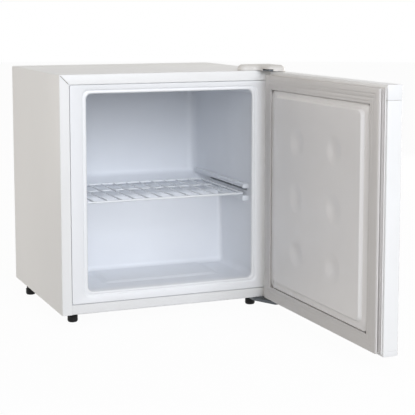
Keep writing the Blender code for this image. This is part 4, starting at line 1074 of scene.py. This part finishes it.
# Hinges: zinc plated steel plates screwed to the cabinet hold the two pins that the door turns on.
# A domed plastic cover snaps over the upper plate and is open in front, where the plate's arm comes out.
COVER_CORNER = 0.012
COVER_TAIL = 0.020
COVER_RISE = 0.002
COVER_DOME = 0.0090
COVER_WALL = 0.0015
# Where the notch in front of the cover's tail and the slot for the plate's arm end in the shared frame.
NOTCH_RIGHT = 0.193
NOTCH_BACK = 0.0565
SLOT_RIGHT = 0.204
SLOT_BACK = 0.038
SLOT_HEIGHT = 0.0040
PLATE_EDGE = 0.0005
RIM_WIDTH = 0.0022
RIM_DROP = 0.0034

# Zinc plate is a cool grey metal with a blotchy spangle of a few millimetres.
zinc = surface("zinc_plated_steel", "6C7074", "484C50", 5, 0.42, 0.08, 2, 0.03, metallic=0.85)
# The cover's polypropylene is a little greyer than the caps, with the same fine mould grain.
cover_plastic = surface("moulded_polypropylene_cover", "E0DDD8", "D8D5D0", 30, 0.40, 0.05, 1.5, 0.02)


def softened(node_name, name, width, segments=2):
    """A copy of a CAD solid, its triangles merged into faces and its sharp edges eased."""
    piece = bpy.data.objects.new(name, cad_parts[node_name].data.copy())
    bpy.context.scene.collection.objects.link(piece)
    active(piece)
    bpy.ops.object.mode_set(mode="EDIT")
    bpy.ops.mesh.select_all(action="SELECT")
    bpy.ops.mesh.remove_doubles(threshold=TINY / 10)
    bpy.ops.mesh.dissolve_limited(angle_limit=math.radians(1))
    bpy.ops.object.mode_set(mode="OBJECT")
    if width:
        ease_edges(piece, width, segments)
    return piece


cover_low, cover_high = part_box("upper_hinge_cover")
cover_low.x -= COVER_TAIL
cover_high.z += COVER_RISE
cover = block("domed_hinge_cover", cover_low, cover_high)

notch_low = cover_low - Vector((COVER_TAIL, COVER_TAIL, COVER_TAIL))
notch_high = Vector((NOTCH_RIGHT, NOTCH_BACK, cover_high.z + COVER_TAIL))
bpy.ops.object.mode_set(mode="OBJECT")
cut(cover, block("notch_tool", notch_low, notch_high))
bpy.ops.object.mode_set(mode="EDIT")
pick("EDGE", lambda middle, edge: run(edge, Z) > TINY)
bevel(COVER_CORNER, 8)
pick("EDGE", lambda middle, edge: cover_high.z - middle.z < TINY and edge.calc_face_angle() > CREASE)
bevel(COVER_DOME, 7)
pick("FACE", lambda middle, face: face.normal.z < -FACING)
bpy.ops.mesh.delete(type="FACE")
thicken(cover, COVER_WALL)
arm_slot = block(
    "slot_tool",
    (NOTCH_RIGHT - COVER_TAIL, cover_low.y - COVER_TAIL, cover_low.z - SLOT_HEIGHT),
    (SLOT_RIGHT, SLOT_BACK, cover_low.z + SLOT_HEIGHT),
)
cut(cover, arm_slot)
dress(cover, cover_plastic, "cabinet", "white_plastic", "upper_hinge_cover")

arm = softened("lower_hinge_bracket", "lower_hinge_plate", 0)
bpy.ops.object.mode_set(mode="EDIT")
pick("FACE", lambda middle, face: face.normal.z < -FACING)
bpy.ops.mesh.inset(thickness=RIM_WIDTH, use_boundary=True)
inside_rim = [face for face in bmesh.from_edit_mesh(arm.data).faces if face.select]
pick("FACE", lambda middle, face: face.normal.z < -FACING and face not in inside_rim)
bpy.ops.mesh.extrude_region_move(TRANSFORM_OT_translate={"value": (0, 0, -RIM_DROP)})
bpy.ops.object.mode_set(mode="OBJECT")
ease_edges(arm, PLATE_EDGE)
dress(arm, zinc, "cabinet", "zinc_steel", "lower_hinge_bracket")
plate = softened("upper_hinge_bracket", "upper_hinge_plate", 0)
cut(plate, block("notch_tool", notch_low, notch_high + Vector((COVER_WALL, COVER_WALL, 0))))
ease_edges(plate, PLATE_EDGE)
dress(plate, zinc, "cabinet", "zinc_steel", "upper_hinge_bracket")
for node_name, name in (("lower_hinge_pin", "lower_pin"), ("upper_hinge_pin", "upper_pin")):
    dress(softened(node_name, name, PLATE_EDGE), zinc, "cabinet", "zinc_steel", node_name)


# Door bushes: natural acetal sleeves pressed into the end caps, in which the door turns on its pins.
# The lower one's flange also carries the door's weight on the lower hinge plate.

# Acetal is a waxy ivory plastic with a low sheen.
acetal = surface("natural_acetal", "ECE9DF", "E2DED2", 8, 0.36, 0.05, 1.2, 0.02)

for node_name, name in (("upper_door_bush", "upper_bush"), ("lower_door_bush", "lower_bush")):
    dress(softened(node_name, name, PLATE_EDGE / 2), acetal, "door", "acetal", node_name)


# Insulation: polyurethane foam blown between steel and plastic, in the cabinet and in the door.
# It bonds to both. The cabinet's is drawn back in front, and its room is fitted to the formed liner.
FOAM_EDGE = 0.003
FOAM_BACK = 0.006
COIL_ROOM = 0.008
FOAM_WIDER = 1.09
FOAM_HIGHER = 0.0105
FOAM_COVE = 0.0235

# Cut foam is cream coloured and dull, with cells of about 1 mm, drawn at 3 mm to show.
foam = surface("blown_polyurethane_foam", "E4D9B8", "D3C69E", 14, 0.88, 0.05, 3, 0.4)

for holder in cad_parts["door_foam"].material_slots:
    holder.material = foam
filling = softened("foam_insulation", "cabinet_foam", 0)
bpy.ops.object.mode_set(mode="EDIT")
foam_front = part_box("foam_insulation")[0].y
room_x = liner_high.x - FOAM_BACK
room_y = liner_high.y + COIL_ROOM
pick("VERT", lambda middle, corner: middle.y < foam_front + FOAM_EDGE)
bpy.ops.transform.translate(value=(0, FOAM_BACK, 0))
pick(
    "VERT",
    lambda middle, corner: abs(middle.x) < room_x
    and middle.y < room_y
    and liner_low.z + FOAM_BACK < middle.z < liner_high.z - FOAM_BACK,
)
bpy.ops.transform.resize(value=(FOAM_WIDER, 1, 1), center_override=(0, 0, 0))
pick(
    "VERT",
    lambda middle, corner: abs(middle.x) < liner_high.x
    and middle.y < room_y
    and -FOAM_COVE < middle.z - ceiling_z < FOAM_HIGHER,
)
bpy.ops.transform.translate(value=(0, 0, FOAM_HIGHER))
bpy.ops.object.mode_set(mode="OBJECT")
dress(filling, foam, "cabinet", "foam", "foam_insulation")


# Back, floor and machine space: a beaded white panel above, and galvanised sheets round the compressor.
# The panel is held by small cross head screws through the wrapper's rear return.
SHEET_EDGE = 0.0003
BEAD_MORE = 0.0016
# Each step of the screw's head: its radius and its height.
SCREW_PROFILE = ((0.0036, 0), (0.0036, 0.0005), (0.0031, 0.0014), (0.0019, 0.0019), (0.0006, 0.0020))
SCREW_SIDES = 24
CROSS_LENGTH = 0.0034
CROSS_WIDTH = 0.0008
CROSS_DEPTH = 0.0012
SCREW_HEIGHTS = (0.215, 0.310, 0.405)
SCREW_ACROSS = (-0.150, 0, 0.150)

# Galvanised sheet is a bright grey metal with large soft spangles, about 12 mm across.
galvanised = surface("galvanised_sheet_steel", "B9BDBF", "9A9FA2", 12, 0.44, 0.08, 4, 0.03, metallic=0.8)

bead_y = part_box("back_panel")[1].y
back_panel = softened("back_panel", "beaded_back_panel", 0)
bpy.ops.object.mode_set(mode="EDIT")
pick("VERT", lambda middle, corner: bead_y - middle.y < TINY)
bpy.ops.transform.translate(value=(0, BEAD_MORE, 0))
bpy.ops.object.mode_set(mode="OBJECT")
ease_edges(back_panel, SHEET_EDGE, angle=60)
dress(back_panel, white_paint, "cabinet", "white_steel", "back_panel")
for node_name, name in (
    ("niche_wall", "folded_niche_wall"),
    ("bottom_panel", "flat_bottom_panel"),
    ("compressor_carrier", "folded_carrier"),
):
    dress(softened(node_name, name, SHEET_EDGE), galvanised, "cabinet", "zinc_steel", node_name)

screw = turned("panel_screw", 0, 0, SCREW_PROFILE, SCREW_SIDES)
bpy.ops.object.mode_set(mode="OBJECT")
screw_top = SCREW_PROFILE[-1][1]
for along, across in ((CROSS_LENGTH, CROSS_WIDTH), (CROSS_WIDTH, CROSS_LENGTH)):
    cross = block(
        "cross_tool",
        (-along / 2, -across / 2, screw_top - CROSS_DEPTH),
        (along / 2, across / 2, screw_top + CROSS_DEPTH),
    )
    cut(screw, cross)
screw.rotation_euler = (math.radians(-90), 0, 0)
active(screw)
bpy.ops.object.transform_apply()
side_x = steel_high.x - REAR_RETURN / 2
top_z = steel_high.z - REAR_RETURN / 2
screw_places = [(x, steel_high.y, top_z) for x in SCREW_ACROSS]
for height in SCREW_HEIGHTS:
    screw_places += [(-side_x, steel_high.y, height), (side_x, steel_high.y, height)]
for number, screw_place in enumerate(screw_places, start=1):
    dress(copy_of(screw, "panel_screw_" + str(number), screw_place), zinc, "cabinet", "zinc_steel")
bpy.data.objects.remove(screw)


# Compressor: two deep drawn steel shells welded at a rim, sprayed black, on a plate with rubber feet.
# It stands on the carrier's four studs, and the grommets keep its hum out of the cabinet.
SHELL_SIDES = 64
# Each step of the shell: its share of the half width, and its share of the height.
SHELL_RISE = (
    (0.62, 0.000),
    (0.80, 0.015),
    (0.90, 0.050),
    (0.955, 0.110),
    (0.985, 0.200),
    (1.00, 0.330),
    (1.00, 0.415),
    (1.035, 0.420),
    (1.04, 0.440),
    (1.035, 0.460),
    (1.00, 0.465),
    (0.995, 0.600),
    (0.97, 0.720),
    (0.92, 0.815),
    (0.84, 0.885),
    (0.73, 0.935),
    (0.58, 0.970),
    (0.38, 0.992),
    (0.15, 1.000),
)
SHELL_RIM_SHARE = 1.04

# Stoved enamel is black and glossy, with the shallow ripple of a sprayed coat.
enamel = surface("black_stoved_enamel", "131415", "0B0C0D", 25, 0.22, 0.04, 9, 0.10)
# Moulded rubber is a dull charcoal with a fine dusty bloom.
rubber = surface("black_moulded_rubber", "222223", "161617", 7, 0.74, 0.06, 1.0, 0.04)

shell_low, shell_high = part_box("compressor_shell")
shell_middle = (shell_low + shell_high) / 2
half_long = (shell_high.x - shell_low.x) / 2 / SHELL_RIM_SHARE
half_wide = (shell_high.y - shell_low.y) / 2 / SHELL_RIM_SHARE
shell_height = shell_high.z - shell_low.z
shell_profile = [(share * half_long, shell_low.z + rise * shell_height) for share, rise in SHELL_RISE]
shell = turned("welded_compressor_shell", shell_middle.x, shell_middle.y, shell_profile, SHELL_SIDES)
bpy.ops.transform.resize(value=(1, half_wide / half_long, 1), center_override=shell_middle)
dress(shell, enamel, "cabinet", "black_enamel", "compressor_shell")
base = softened("compressor_base", "pressed_compressor_base", PLATE_EDGE)
dress(base, enamel, "cabinet", "black_enamel", "compressor_base")
for number in (1, 2, 3, 4):
    node_name = "compressor_grommet_" + str(number)
    grommet = softened(node_name, "rubber_foot_" + str(number), PLATE_EDGE)
    dress(grommet, rubber, "cabinet", "black_rubber", node_name)


# Refrigerant tubes: drawn copper and aluminium, bent cold and brazed at the compressor and the drier.
# They run from the niche into the foam, so only their ends show.
TUBE_LEVELS = 2

# Copper is warm and bright where handled, browner where the torch has tarnished it.
copper = surface("drawn_copper_tube", "C98C6C", "8E5238", 18, 0.34, 0.09, 1.5, 0.02, metallic=1)
# Drawn aluminium is a pale dull silver with faint lines.
aluminium = surface("drawn_aluminium_tube", "C6C8CA", "AEB1B4", 20, 0.42, 0.06, 1.5, 0.02, metallic=1)


def rounded_tube(node_name, name):
    """A copy of a CAD tube with its facets smoothed away."""
    piece = softened(node_name, name, 0)
    modify(piece, "SUBSURF", levels=TUBE_LEVELS, render_levels=TUBE_LEVELS)
    return piece


for node_name, name, finish, slot in (
    ("condenser_coil", "hot_wall_condenser", copper, "copper"),
    ("evaporator_coil", "liner_evaporator", aluminium, "aluminium"),
    ("discharge_tube", "bent_discharge_tube", copper, "copper"),
    ("suction_tube", "bent_suction_tube", copper, "copper"),
    ("process_tube", "sealed_process_tube", copper, "copper"),
    ("capillary_tube", "thin_capillary", copper, "copper"),
):
    dress(rounded_tube(node_name, name), finish, "cabinet", slot, node_name)
drier = softened("filter_drier", "spun_filter_drier", PLATE_EDGE)
dress(drier, copper, "cabinet", "copper", "filter_drier")


# Electrical pieces: the thermostat and its knob are white, the relay cover, lead and cord gland black.
# They clip to the carrier and the compressor; the photograph shows no cord, so the gland stands empty.
CASE_EDGE = 0.0012

# Moulded nylon is a soft black with a fine texture.
nylon = surface("moulded_black_nylon", "1A1A1B", "101011", 9, 0.46, 0.06, 1.1, 0.04)

for node_name, name, finish, body, slot, width in (
    ("thermostat_housing", "thermostat_case", cap_plastic, "cabinet", "white_plastic", CASE_EDGE),
    ("thermostat_knob", "turning_knob", cap_plastic, "knob", "white_plastic", PLATE_EDGE),
    ("relay_cover", "clipped_relay_cover", nylon, "cabinet", "black_plastic", CASE_EDGE),
    ("cord_gland", "empty_cord_gland", rubber, "cabinet", "black_rubber", SHEET_EDGE),
):
    dress(softened(node_name, name, width, 3), finish, body, slot, node_name)
dress(rounded_tube("relay_lead", "sleeved_relay_lead"), nylon, "cabinet", "black_plastic", "relay_lead")
